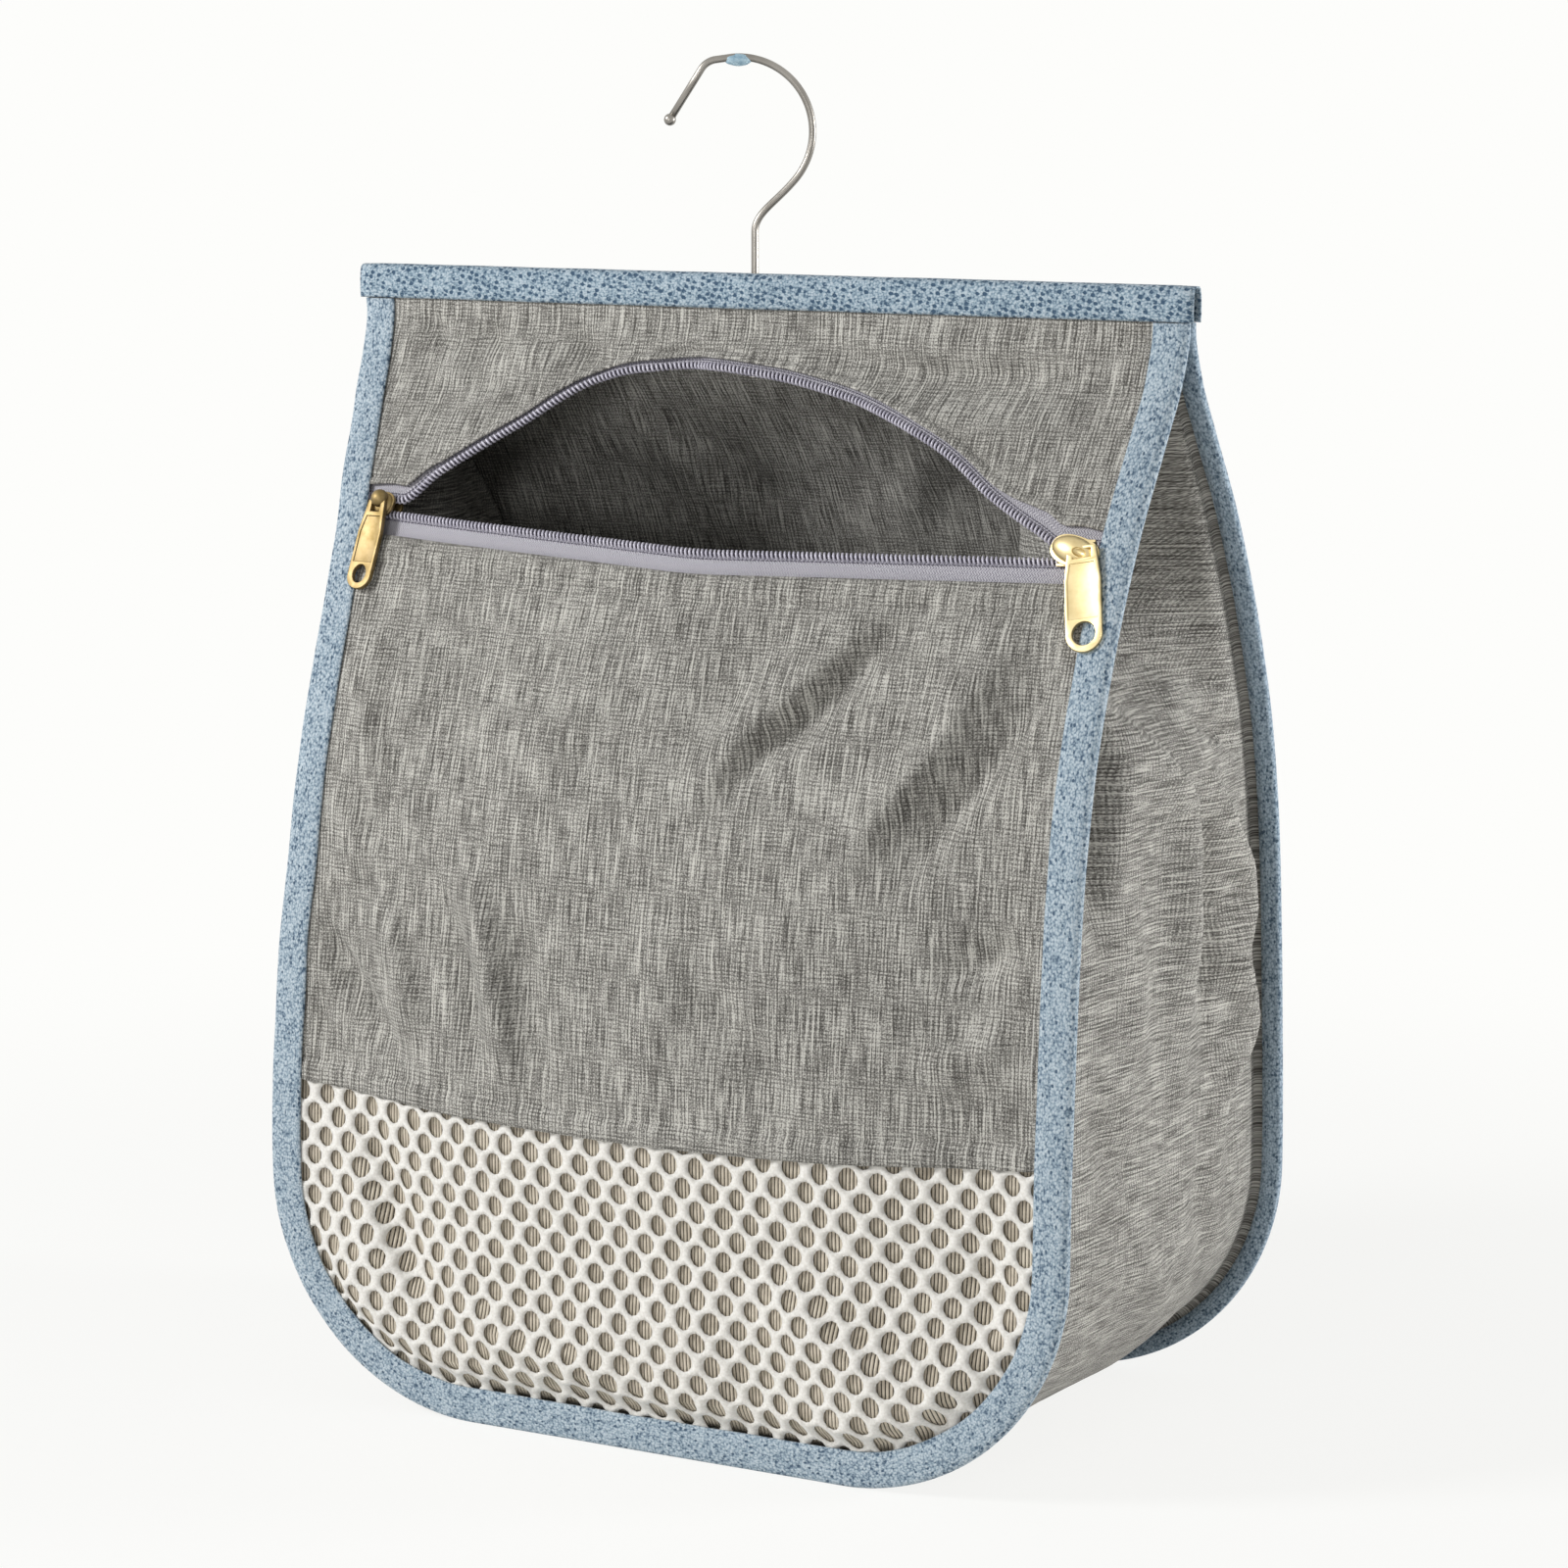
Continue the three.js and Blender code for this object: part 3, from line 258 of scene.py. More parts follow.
backFolds = [
    ([(-74, 306), (-46, 280), (-24, 250)], 8, -2.4),
    ([(-60, 310), (-30, 284), (-8, 256)], 8, 1.8),
    ([(66, 310), (38, 284), (16, 256)], 8, -2.2),
    ([(112, 262), (92, 226), (70, 196)], 8, -2.4),
    ([(98, 262), (78, 226), (56, 192)], 8, 2.0),
    ([(-108, 226), (-88, 184), (-56, 126)], 9, 2.4),
    ([(-116, 196), (-98, 156), (-70, 108)], 8, -2.2),
    ([(104, 170), (88, 132), (84, 96)], 9, -2.0),
    ([(-20, 206), (-6, 160), (14, 108)], 11, 1.8),
    ([(-92, 76), (-46, 52), (8, 42)], 8, -2.2),
    ([(98, 82), (64, 54), (30, 44)], 8, 2.0),
]
foldShape = {
    "depth": 1.7,  # all folds are this much deeper than their rises say
    "spread": 3,  # half widths from the crease to where the cloth is flat again
    "fade": 0.4,  # share of its length over which a fold starts, and over which it ends
    "steepSide": 0.75,
    "softSide": 1.35,
}
crumples = {"size": 34.0, "coarse": 1.1, "fine": 0.35, "frontSeed": 3.3, "backSeed": 9.2}
netBelly = {"out": 9.5, "foot": 10, "fades": (24, 72), "middle": 60, "least": 0.8, "more": 0.5, "wave": 30}


# Folds made ready for use: their bounds, their stretches, length, half width and rise
def prepared(folds):
    ready = []
    for points, width, rise in folds:
        stretches = []
        for (x0, z0), (x1, z1) in zip(points, points[1:]):
            length = math.dist((x0, z0), (x1, z1))
            stretches.append((x0, z0, (x1 - x0) / length, (z1 - z0) / length, length))
        xs, zs = zip(*points)
        margin = foldShape["spread"] * width
        bounds = (min(xs) - margin, max(xs) + margin, min(zs) - margin, max(zs) + margin)
        whole = sum(stretch[4] for stretch in stretches)
        ready.append((bounds, stretches, whole, width, foldShape["depth"] * rise))
    return ready


frontCreases, backCreases = prepared(frontFolds), prepared(backFolds)


# How far the folds raise the cloth at a place; each fold is steep on one side and soft on the other
def foldRise(creases, x, z):
    total, fades = 0, foldShape["fade"]
    for (lowX, highX, lowZ, highZ), stretches, whole, width, rise in creases:
        if not (lowX < x < highX and lowZ < z < highZ):
            continue
        nearest, along, walked = 1e9, 0, 0
        for x0, z0, dx, dz, length in stretches:
            t = clamp((x - x0) * dx + (z - z0) * dz, 0, length)
            offX, offZ = x - x0 - t * dx, z - z0 - t * dz
            away = math.hypot(offX, offZ)
            if away < abs(nearest):
                nearest = math.copysign(away, offX * dz - offZ * dx)
                along = walked + t
            walked += length
        fade = ease(along, 0, whole * fades) * (1 - ease(along, whole * (1 - fades), whole))
        side = width * foldShape["steepSide" if nearest < 0 else "softSide"]
        total += rise * fade * math.exp(-(nearest / side) ** 2)
    return total


# Small unevenness of cloth that has been handled, in millimetres
def crumple(x, z, seed, size=crumples["size"]):
    coarse = uneven(x / size, z / (size * 1.6), seed)
    fine = uneven(x / (size * 0.37), z / (size * 0.5), seed + 7.1)
    return crumples["coarse"] * coarse + crumples["fine"] * fine


# Room between a place on the front and the inner edge of the binding round the corners
def seamRoom(x, z):
    corner = bag["corner"]
    side = -1 if x < 0 else 1
    centre = cornerX(side)
    if side * (x - centre) < 0 or z > corner:
        return z - bag["bindingInset"]
    return corner - math.hypot(x - centre, corner - z) - bag["bindingInset"]


# The net hangs out in a low belly over the binding under it
def netBulge(x, z):
    if z > netBelly["fades"][1]:
        return 0
    room = z - bag["bindingInset"]
    if abs(x) >= netBelly["middle"]:
        room = min(room, seamRoom(x, z))
    out = netBelly["out"] * ease(room, 0, netBelly["foot"]) * (1 - ease(z, *netBelly["fades"]))
    return out * (netBelly["least"] + netBelly["more"] * uneven(x / netBelly["wave"], 4.0, 0))


# A panel's surface in metres, without folds, for what is sewn into its seams
def plainPanel(side, x, z, lift, loose=0):
    angle = lean(z)
    depth = halfDepth(z) + swell(side, x, z) + (lift + loose) * math.cos(angle)
    return Vector((x, side * depth, z + lift * math.sin(angle))) * mm


# The same surface with its folds
def onPanel(side, x, z, lift):
    beyond = bag["looseBeyond"]
    room = min(abs(edge(-1, z) - x), abs(edge(1, z) - x), bag["height"] + beyond - z, z + beyond)
    creases, seed = (frontCreases, "frontSeed") if side == front else (backCreases, "backSeed")
    loose = ease(room, *bag["looseFrom"]) * (foldRise(creases, x, z) + crumple(x, z, crumples[seed]))
    if side == front:
        loose += netBulge(x, z)
    return plainPanel(side, x, z, lift, loose)


def frontNormal(x, z):
    across = onPanel(front, x + 1, z, 0) - onPanel(front, x - 1, z, 0)
    rise = onPanel(front, x, z + 1, 0) - onPanel(front, x, z - 1, 0)
    return across.cross(rise).normalized()


# Length of the cloth from the floor up to a height
def clothLength(z):
    key = ("length", round(z, 2))
    if key not in known:
        spots = [(halfDepth(height), height) for height in steps(0, z, 40)]
        known[key] = sum(math.dist(here, there) for here, there in zip(spots, spots[1:]))
    return known[key]


# Lines across the front: the coils, the cloth beside them and the seam over the net

zipDown = math.cos(lean(zipLine["height"]))
archStart = edge(-1, zipLine["height"]) + zipLine["leftSliderInset"] + zipLine["sliderLength"] / 2
archEnd = edge(1, zipLine["height"]) - zipLine["rightSliderInset"] - zipLine["sliderLength"] / 2


def lowerCoilZ(x):
    along = (x - tentEnds[0]) / (tentEnds[1] - tentEnds[0])
    return zipLine["height"] - zipLine["sag"] * tent(x) - zipLine["rightDrop"] * along


def archPlace(x):
    return (2 * x - archStart - archEnd) / (archEnd - archStart)


def upperCoilZ(x):
    rise = zipLine["rise"] * follow(archShares, archPlace(x))
    return lowerCoilZ(x) + 2 * zipLine["coilOffset"] * zipDown + rise


# Height of one millimetre measured square to the upper coil
def squareToArch(x):
    slope = (upperCoilZ(x + reach) - upperCoilZ(x - reach)) / (2 * reach * zipDown)
    return zipDown * math.hypot(1, slope)


# Each half of the zip: which way its tape lies, its coil and the height of one millimetre square to it
zipHalves = {"lower": (-1, lowerCoilZ, lambda x: zipDown), "upper": (1, upperCoilZ, squareToArch)}


def besideCoil(half, x, away):
    sign, coilZ, square = zipHalves[half]
    return coilZ(x) + sign * away * square(x)


def lowerClothZ(x):
    return besideCoil("lower", x, zipLine["tapeStart"] + zipLine["lowerTapeShow"])


def upperClothZ(x):
    return besideCoil("upper", x, zipLine["tapeStart"] + shareAt(upperTapeShow, archPlace(x)))


netHem = {"height": 101, "sag": 4.5, "band": 5.2, "overlap": 1.2}


def netSeamZ(x):
    across = clamp(x / (bag["width"] / 2 - bag["seamInset"]), -1, 1)
    return netHem["height"] - netHem["sag"] * (1 - across * across)


# The outline that the bindings follow, from the left top round the bottom to the right top, as
# places with the direction inwards
def outlineStations(top, step):
    corner, left, right = bag["corner"], cornerX(-1), cornerX(1)
    rows, turns = int((top - corner) / step), int(corner * math.pi / 2 / step)
    across = int((right - left) / step)

    def down(side, centre):
        wall = [(edge(side, z), z, -side, 0) for z in steps(top, corner, rows)]
        bend = [(centre + side * corner * math.cos(a), corner * (1 - math.sin(a)),
                 -side * math.cos(a), math.sin(a)) for a in steps(0, math.pi / 2, turns)[1:]]
        return wall + bend

    floor = [(x, 0, 0, 1) for x in steps(left, right, across)[1:-1]]
    return down(-1, left) + floor + down(1, right)[::-1]


# Making pieces

def newMesh(name, bm):
    mesh = bpy.data.meshes.new(name)
    bm.to_mesh(mesh)
    bm.free()
    return mesh


def newObject(name, data):
    made = bpy.data.objects.new(name, data)
    bpy.context.scene.collection.objects.link(made)
    return made


def addInto(bm, other):
    mesh = newMesh("joined", other)
    bm.from_mesh(mesh)
    bpy.data.meshes.remove(mesh)


# A grid whose columns and rows are carried to their places; the cloth's own lengths become its UV map
def placedGrid(columns, rows, place, measure):
    bm = bmesh.new()
    bmesh.ops.create_grid(bm, x_segments=len(columns) - 1, y_segments=len(rows) - 1, size=0.5)
    layer = bm.loops.layers.uv.new("cloth")
    spots = {}
    for vert in bm.verts:
        column = round((vert.co.x + 0.5) * (len(columns) - 1))
        row = round((vert.co.y + 0.5) * (len(rows) - 1))
        spots[vert] = (columns[column], rows[row])
    for face in bm.faces:
        for loop in face.loops:
            loop[layer].uv = measure(*spots[loop.vert])
    for vert, spot in spots.items():
        vert.co = place(*spot)
    return bm


# The object of a piece, which rides on a body, has a finish and takes the place of a CAD node
def finishPiece(name, bm, materials, node=None, body="root", thickness=0):
    mesh = newMesh(name, bm)
    for material in materials:
        mesh.materials.append(material)
    for polygon in mesh.polygons:
        polygon.use_smooth = True
    piece = newObject(name, mesh)
    if thickness:
        wall = piece.modifiers.new("thickness", "SOLIDIFY")
        wall.thickness = thickness * mm
        wall.offset = 0
    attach(piece, body)
    if node:
        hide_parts(node)
    return piece


# A round wire along points in metres
def tube(points, radius, sides):
    curve = bpy.data.curves.new("line", "CURVE")
    curve.dimensions = "3D"
    curve.bevel_depth = radius * mm
    curve.bevel_resolution = sides // 2 - 2
    curve.use_fill_caps = True
    spline = curve.splines.new("POLY")
    spline.points.add(len(points) - 1)
    for knot, point in zip(spline.points, points):
        knot.co = (*point, 1)
    carrier = newObject("line", curve)
    bm = bmesh.new()
    bm.from_mesh(carrier.to_mesh())
    carrier.to_mesh_clear()
    bpy.data.objects.remove(carrier)
    bpy.data.curves.remove(curve)
    bmesh.ops.remove_doubles(bm, verts=bm.verts, dist=1e-7)
    bmesh.ops.recalc_face_normals(bm, faces=bm.faces)
    return bm


# Short stitches of sewing thread along places on the front
def stitches(bm, places, lift, thread):
    line = [(onPanel(front, x, z, lift), frontNormal(x, z)) for x, z in places]
    radius = thread["radius"] * mm
    size = Matrix.Diagonal((thread["length"] / 2 * mm, radius, radius * 0.8, 1))
    travelled, due = 0, thread["spacing"] / 2
    for (here, out), (there, _) in zip(line, line[1:]):
        span = (there - here).length / mm
        along = (there - here).normalized()
        side = out.cross(along).normalized()
        turn = Matrix((along, side, out)).transposed().to_4x4()
        while travelled + span > due:
            spot = Matrix.Translation(here.lerp(there, (due - travelled) / span))
            bmesh.ops.create_icosphere(bm, subdivisions=1, radius=1, matrix=spot @ turn @ size)
            due += thread["spacing"]
        travelled += span


# Materials

def colour(code):
    parts = [int(code[i:i + 2], 16) / 255 for i in (1, 3, 5)]
    return (*[p / 12.92 if p <= 0.04045 else ((p + 0.055) / 1.055) ** 2.4 for p in parts], 1)


# A node with its settings, in which another node or a socket stands for a link
def addNode(tree, kind, settings=()):
    node = tree.nodes.new("ShaderNode" + kind)
    for key, value in dict(settings).items():
        if isinstance(value, bpy.types.Node):
            value = value.outputs[0]
        if isinstance(value, bpy.types.NodeSocket):
            tree.links.new(value, node.inputs[key])
        elif isinstance(key, int) or key in node.inputs:
            node.inputs[key].default_value = value
        else:
            setattr(node, key, value)
    return node


def newMaterial(name, settings):
    material = bpy.data.materials.new(name)
    material.use_nodes = True
    tree = material.node_tree
    tree.nodes.clear()
    shader = addNode(tree, "BsdfPrincipled", settings)
    addNode(tree, "OutputMaterial", {"Surface": shader})
    return material, tree, shader


# Gives a pattern to the shader: its value picks a colour between the stops and raises the surface
def applyPattern(tree, shader, value, stops, strength, relief):
    ramp = addNode(tree, "ValToRGB", {0: value})
    while len(ramp.color_ramp.elements) < len(stops):
        ramp.color_ramp.elements.new(0.5)
    for element, (place, code) in zip(ramp.color_ramp.elements, stops):
        element.position = place
        element.color = colour(code)
    tree.links.new(ramp.outputs[0], shader.inputs["Base Color"])
    if relief:
        bump = addNode(tree, "Bump", {"Strength": strength, "Distance": relief * mm, "Height": value})
        tree.links.new(bump.outputs[0], shader.inputs["Normal"])


# Noise drawn out to threads of a width and a height in millimetres
def threads(tree, coords, wide, tall, detail, seed):
    scaled = addNode(tree, "Mapping", {"Scale": (1 / wide, 1 / tall, 1), "Location": (seed, seed, 0),
                                       "Vector": coords})
    return addNode(tree, "TexNoise", {"Scale": 1, "Detail": detail, "Roughness": 0.6, "Vector": scaled})


# A sine wave of a given pitch in millimetres, from 0 to 1
def wave(tree, value, pitch):
    turned = addNode(tree, "Math", {"operation": "MULTIPLY", 0: value, 1: 2 * math.pi / pitch})
    swing = addNode(tree, "Math", {"operation": "SINE", 0: turned})
    return addNode(tree, "Math", {"operation": "MULTIPLY_ADD", 0: swing, 1: 0.5, 2: 0.5})


# A sum of parts, each counted from its middle and with its own weight
def weighed(tree, parts, level):
    total = level - sum(0.5 * weight for _, weight in parts)
    for part, weight in parts:
        total = addNode(tree, "Math", {"operation": "MULTIPLY_ADD", 0: part, 1: weight, 2: total})
    return total


weave = {
    "thread": 0.5,
    "slub": 12.0,
    "patch": (10, 26),
    "pitch": 1.2,
    "bend": 1.6,
    "bendScale": 0.35,
    "level": 0.6,
    "slubFrom": 0.58,
    "slubWeight": 3.0,
    "stops": [(0.12, "#4c4a46"), (0.50, "#898782"), (0.90, "#cdcbc4")],
}


# Polyester plain weave in grey heather: dark and pale yarns, drawn about twice as coarse as real
def heatherCloth(name, warpAcross):
    material, tree, shader = newMaterial(name, {
        "Roughness": 0.9, "Specular IOR Level": 0.2, "Sheen Weight": 0.08, "Sheen Roughness": 0.5})
    coords = addNode(tree, "UVMap", {"uv_map": "cloth"})

    def yarns(wide, tall, detail, seed):
        return threads(tree, coords, *((tall, wide) if warpAcross else (wide, tall)), detail, seed)

    thin, slub = weave["thread"], weave["slub"]
    warp = yarns(thin, slub, 1.5, 3.0)
    weft = yarns(slub * 0.7, thin, 1.5, 17.0)
    grain = yarns(thin * 0.8, thin * 0.8, 1.0, 5.0)
    patches = yarns(*weave["patch"], 2.5, 9.0)
    slubs = yarns(thin * 1.3, slub * 2, 1.0, 31.0)
    slubs = addNode(tree, "Math", {"operation": "SUBTRACT", 0: slubs, 1: weave["slubFrom"]})
    slubs = addNode(tree, "Math", {"operation": "MAXIMUM", 0: slubs, 1: 0})
    wobble = addNode(tree, "TexNoise", {"Scale": weave["bendScale"], "Detail": 1.0, "Vector": coords})
    bent = addNode(tree, "VectorMath", {"operation": "MULTIPLY_ADD", 0: wobble.outputs["Color"],
                                        1: (weave["bend"], weave["bend"], 0), 2: coords})
    parts = addNode(tree, "SeparateXYZ", {0: bent})
    ups, overs = (wave(tree, parts.outputs[i], weave["pitch"]) for i in (0, 1))
    crossings = addNode(tree, "Math", {"operation": "MULTIPLY", 0: ups, 1: overs})
    value = weighed(tree, [(warp, 1.5), (weft, 0.8), (grain, 1.2), (patches, 0.4), (crossings, 0.4)],
                    weave["level"])
    value = addNode(tree, "Math", {"operation": "MULTIPLY_ADD", 0: slubs, 1: weave["slubWeight"],
                                   2: value})
    applyPattern(tree, shader, value, weave["stops"], 0.6, 0.22)
    return material


knit = {"loop": (0.95, 0.75), "loopRandom": 0.8, "fuzz": (0.6, 0.45), "patch": (9, 5), "level": 0.58,
        "holeRim": 0.16}


# Knitted binding tape in dusty blue: small loops of yarn, with dark needle holes in rows along it
def knittedTape(name, dark, mid, light, holes):
    material, tree, shader = newMaterial(name, {
        "Roughness": 0.85, "Specular IOR Level": 0.25, "Sheen Weight": 0.2, "Sheen Roughness": 0.4})
    coords = addNode(tree, "UVMap", {"uv_map": "cloth"})

    def cells(vector, across, tall, random):
        scaled = addNode(tree, "Mapping", {"Scale": (1 / across, 1 / tall, 1), "Vector": vector})
        return addNode(tree, "TexVoronoi", {"Scale": 1, "Randomness": random, "Vector": scaled})

    loops = cells(coords, *knit["loop"], knit["loopRandom"])
    loops = addNode(tree, "Math", {"operation": "SUBTRACT", 0: 1, 1: loops.outputs["Distance"]})
    fuzz = threads(tree, coords, *knit["fuzz"], 2.0, 2.0)
    patches = threads(tree, coords, *knit["patch"], 2.0, 6.0)
    turned = addNode(tree, "Mapping", {"Rotation": (0, 0, math.radians(holes["turn"])),
                                       "Vector": coords})
    spots = cells(turned, holes["along"], holes["across"], holes["random"])
    hole = addNode(tree, "MapRange", {"interpolation_type": "SMOOTHSTEP", "From Min": holes["size"],
                                      "From Max": holes["size"] + knit["holeRim"], "To Min": 1.0,
                                      "To Max": 0.0, "Value": spots.outputs["Distance"]})
    hole = addNode(tree, "Math", {"operation": "MULTIPLY", 0: hole, 1: holes["depth"]})
    value = weighed(tree, [(loops, 0.9), (fuzz, 1.0), (patches, 0.35)], knit["level"])
    value = addNode(tree, "Math", {"operation": "SUBTRACT", 0: value, 1: hole})
    applyPattern(tree, shader, value, [(0.18, dark), (0.5, mid), (0.84, light)], 0.7, 0.3)
    return material


twill = {"rib": 0.75, "slant": 1.1, "pitch": 0.85, "grain": 0.6,
         "stops": [(0.1, "#7a7782"), (0.5, "#a9a7af"), (0.9, "#d0ced4")]}


# Zip tape in lavender grey, woven in a fine herringbone
def twillTape(name):
    material, tree, shader = newMaterial(name, {
        "Roughness": 0.72, "Specular IOR Level": 0.3, "Sheen Weight": 0.12})
    coords = addNode(tree, "UVMap", {"uv_map": "cloth"})
    parts = addNode(tree, "SeparateXYZ", {0: coords})
    chevron = addNode(tree, "Math", {"operation": "PINGPONG", 0: parts.outputs[1], 1: twill["rib"]})
    slanted = addNode(tree, "Math", {"operation": "MULTIPLY_ADD", 0: chevron, 1: twill["slant"],
                                     2: parts.outputs[0]})
    lines = wave(tree, slanted, twill["pitch"])
    grain = threads(tree, coords, twill["grain"], twill["grain"], 1.0, 4.0)
    value = weighed(tree, [(lines, 0.7), (grain, 1.0)], 0.5)
    applyPattern(tree, shader, value, twill["stops"], 0.5, 0.18)
    return material


# Plain finishes that vary a little over the surface: colours, size of the patches and relief
def variedFinish(name, settings, dark, light, size, relief=0):
    material, tree, shader = newMaterial(name, settings)
    coords = addNode(tree, "TexCoord").outputs["Object"]
    spread = addNode(tree, "TexNoise", {"Scale": 1 / (size * mm), "Detail": 3.0, "Roughness": 0.55,
                                        "Vector": coords})
    applyPattern(tree, shader, spread, [(0.35, dark), (0.65, light)], 0.5, relief)
    return material


clothFront = heatherCloth("heatherClothUpright", False)
clothStrip = heatherCloth("heatherClothAcross", True)
sideHoles = {"along": 2.4, "across": 1.6, "turn": 6, "random": 0.7, "size": 0.13, "depth": 0.7}
topHoles = {"along": 2.5, "across": 1.85, "turn": 14, "random": 0.4, "size": 0.22, "depth": 0.55}
tapeFront = knittedTape("knittedTapeFront", "#4c6176", "#98aab8", "#c5d1d9", sideHoles)
# The back binding is the same tape as the front; its copy with darker middle and light colours is painted
# shade
tapeBackPaintedShade = knittedTape("knittedTapeBackPaintedShade", "#52677a", "#92a5b5", "#bacbd9", sideHoles)
# The top binding's copy of the same tape has darker colours as painted shade; its slanted rows of holes are
# its own
tapeTopPaintedShade = knittedTape("knittedTapeTopPaintedShade", "#415970", "#90a5b4", "#bfccd5", topHoles)
zipTwill = twillTape("zipTwill")
# Dyed nylon monofilament, extruded and coiled: a pearly gloss
coilNylon = variedFinish("coilNylon", {"Roughness": 0.28, "IOR": 1.53}, "#bab7c6", "#d6d3df", 6)
# Cord inside the coil, coloured dark as painted shade in the coil's gaps
coilCorePaintedShade = variedFinish("coilCorePaintedShade", {"Roughness": 0.8}, "#47434f", "#5c5864", 3)
# Spun polyester sewing thread, matt and slightly hairy
threadGrey = variedFinish("threadGrey", {"Roughness": 0.7}, "#6f6d69", "#a5a29c", 1.2)
# Thread for the coils' stitches: partly its own colour, partly painted shade, darker than the tape along the
# stitch line
threadLilacPaintedShade = variedFinish("threadLilacPaintedShade", {"Roughness": 0.7}, "#5d5a68", "#7b7886", 1.2)
# Warp-knitted white polyester net, soft and slightly fuzzy
netYarn = variedFinish("netYarn", {"Roughness": 0.8, "Sheen Weight": 0.15}, "#dcd9d2", "#efede8", 0.8, 0.14)
# Thin ribs of a sheer cloth behind the net
sheerYarn = variedFinish("sheerYarn", {"Roughness": 0.7}, "#b8ae9c", "#d8cebc", 5)
# Die-cast zinc with a pale brass plating, tumbled to a polish
paleBrass = variedFinish("paleBrass", {"Metallic": 1.0, "Roughness": 0.42}, "#cdb989", "#dfcd9f", 5, 0.02)
# The same casting with an older, duller plating
agedBrass = variedFinish("agedBrass", {"Metallic": 1.0, "Roughness": 0.5}, "#7d6b45", "#988561", 4, 0.03)
# Drawn steel wire, satin
satinWire = variedFinish("satinWire", {"Metallic": 1.0, "Roughness": 0.32}, "#7d7973", "#9b9791", 16)
# Soft pale blue vinyl, wrapped round the wire
sleeveVinyl = variedFinish("sleeveVinyl", {"Roughness": 0.5}, "#88abc0", "#b4cfdc", 1.5, 0.1)
# Moulded nylon, natural
innerNylon = variedFinish("innerNylon", {"Roughness": 0.5}, "#cfccc4", "#dddad2", 12, 0.05)
print("materials made")


# Cloth panels

panels = {
    "columns": 150,
    "inset": 1.0,
    "hemBand": 7.6,
    "hemRise": 0.7,
    "hemSoftness": 0.6,
    "netHemRise": 1.2,
    "netHemEnds": (9, 14),  # the hem over the net is flat under the bindings
    "flapHem": (1.6, 3.2),
    "flapGroove": 2.4,
    "groove": 0.8,
    "grooveWidth": 0.9,
    "topInset": 1.2,
}


# One cloth panel between two curved edges; liftAt adds the hems' own height
def clothPanel(name, side, lowEdge, highEdge, rowCount, liftAt, node):
    def spot(across, share):
        level = lowEdge(0) + (highEdge(0) - lowEdge(0)) * share
        for _ in range(3):
            left, right = edge(-1, level, panels["inset"]), edge(1, level, panels["inset"])
            x = left + (right - left) * across
            level = lowEdge(x) + (highEdge(x) - lowEdge(x)) * share
        return x, level

    def place(across, share):
        x, z = spot(across, share)
        return onPanel(side, x, z, bag["panelLift"] + liftAt(x, z))

    def measure(across, share):
        x, z = spot(across, share)
        return x, clothLength(z)

    columns = steps(0, 1, panels["columns"])
    if side == back:
        columns.reverse()
    bm = placedGrid(columns, steps(0, 1, rowCount), place, measure)
    return finishPiece(name, bm, [clothFront], node, thickness=bag["cloth"])


def grooveAt(distance):
    return -panels["groove"] * math.exp(-(distance / panels["grooveWidth"]) ** 2)


# A hem of a width, measured from the edge of the cloth, with the groove of its seam
def hemAt(distance, width, rise):
    soft = panels["hemSoftness"]
    return rise * (1 - ease(distance, width - soft, width + soft)), grooveAt(distance - width)


def middleLift(x, z):
    top, topGroove = hemAt((lowerClothZ(x) - z) / zipDown, panels["hemBand"], panels["hemRise"])
    foot, footGroove = hemAt(z - netSeamZ(x), netHem["band"], panels["netHemRise"])
    foot *= ease(min(x - edge(-1, z), edge(1, z) - x), *panels["netHemEnds"])
    return top + foot + topGroove + footGroove


def flapLift(x, z):
    above = (z - upperClothZ(x)) / squareToArch(x)
    hem = panels["hemRise"] * (1 - ease(above, *panels["flapHem"]))
    return hem + 0.6 * grooveAt(above - panels["flapGroove"])


def topEdge(x):
    return bag["height"] - panels["topInset"]


frontMiddle = clothPanel("frontMiddlePanel", front, lambda x: netSeamZ(x) - netHem["overlap"],
                         lowerClothZ, 110, middleLift, "front_middle_panel")
frontTop = clothPanel("frontTopPanel", front, upperClothZ, topEdge, 56, flapLift, "front_top_panel")
backPanel = clothPanel("backPanel", back, lambda x: 1.0, topEdge, 120, lambda x, z: 0, "back_panel")
print("panels made")


# The strip down the sides and under the bag

strip = {
    "columns": 56,
    "step": 3.6,
    "flange": (1.0, 4.5),
    "bend": 2.2,
    "top": 318,
    "spread": 150,
    "loose": 0.12,  # share of its width over which it comes free of each seam
    "crumple": 1.1,
    "crumpleSize": 40,
    "foldsFrom": (16, 44),
    "flatAt": (3, 16),  # half depths of the bag: flat at the first, whole from the second
    "tuck": 48.0,
    "tuckRises": (200, 264),
    "tuckFades": (294, 316),
    "leftTuckShare": 0.25,
    "leftHeights": 0.96,
}
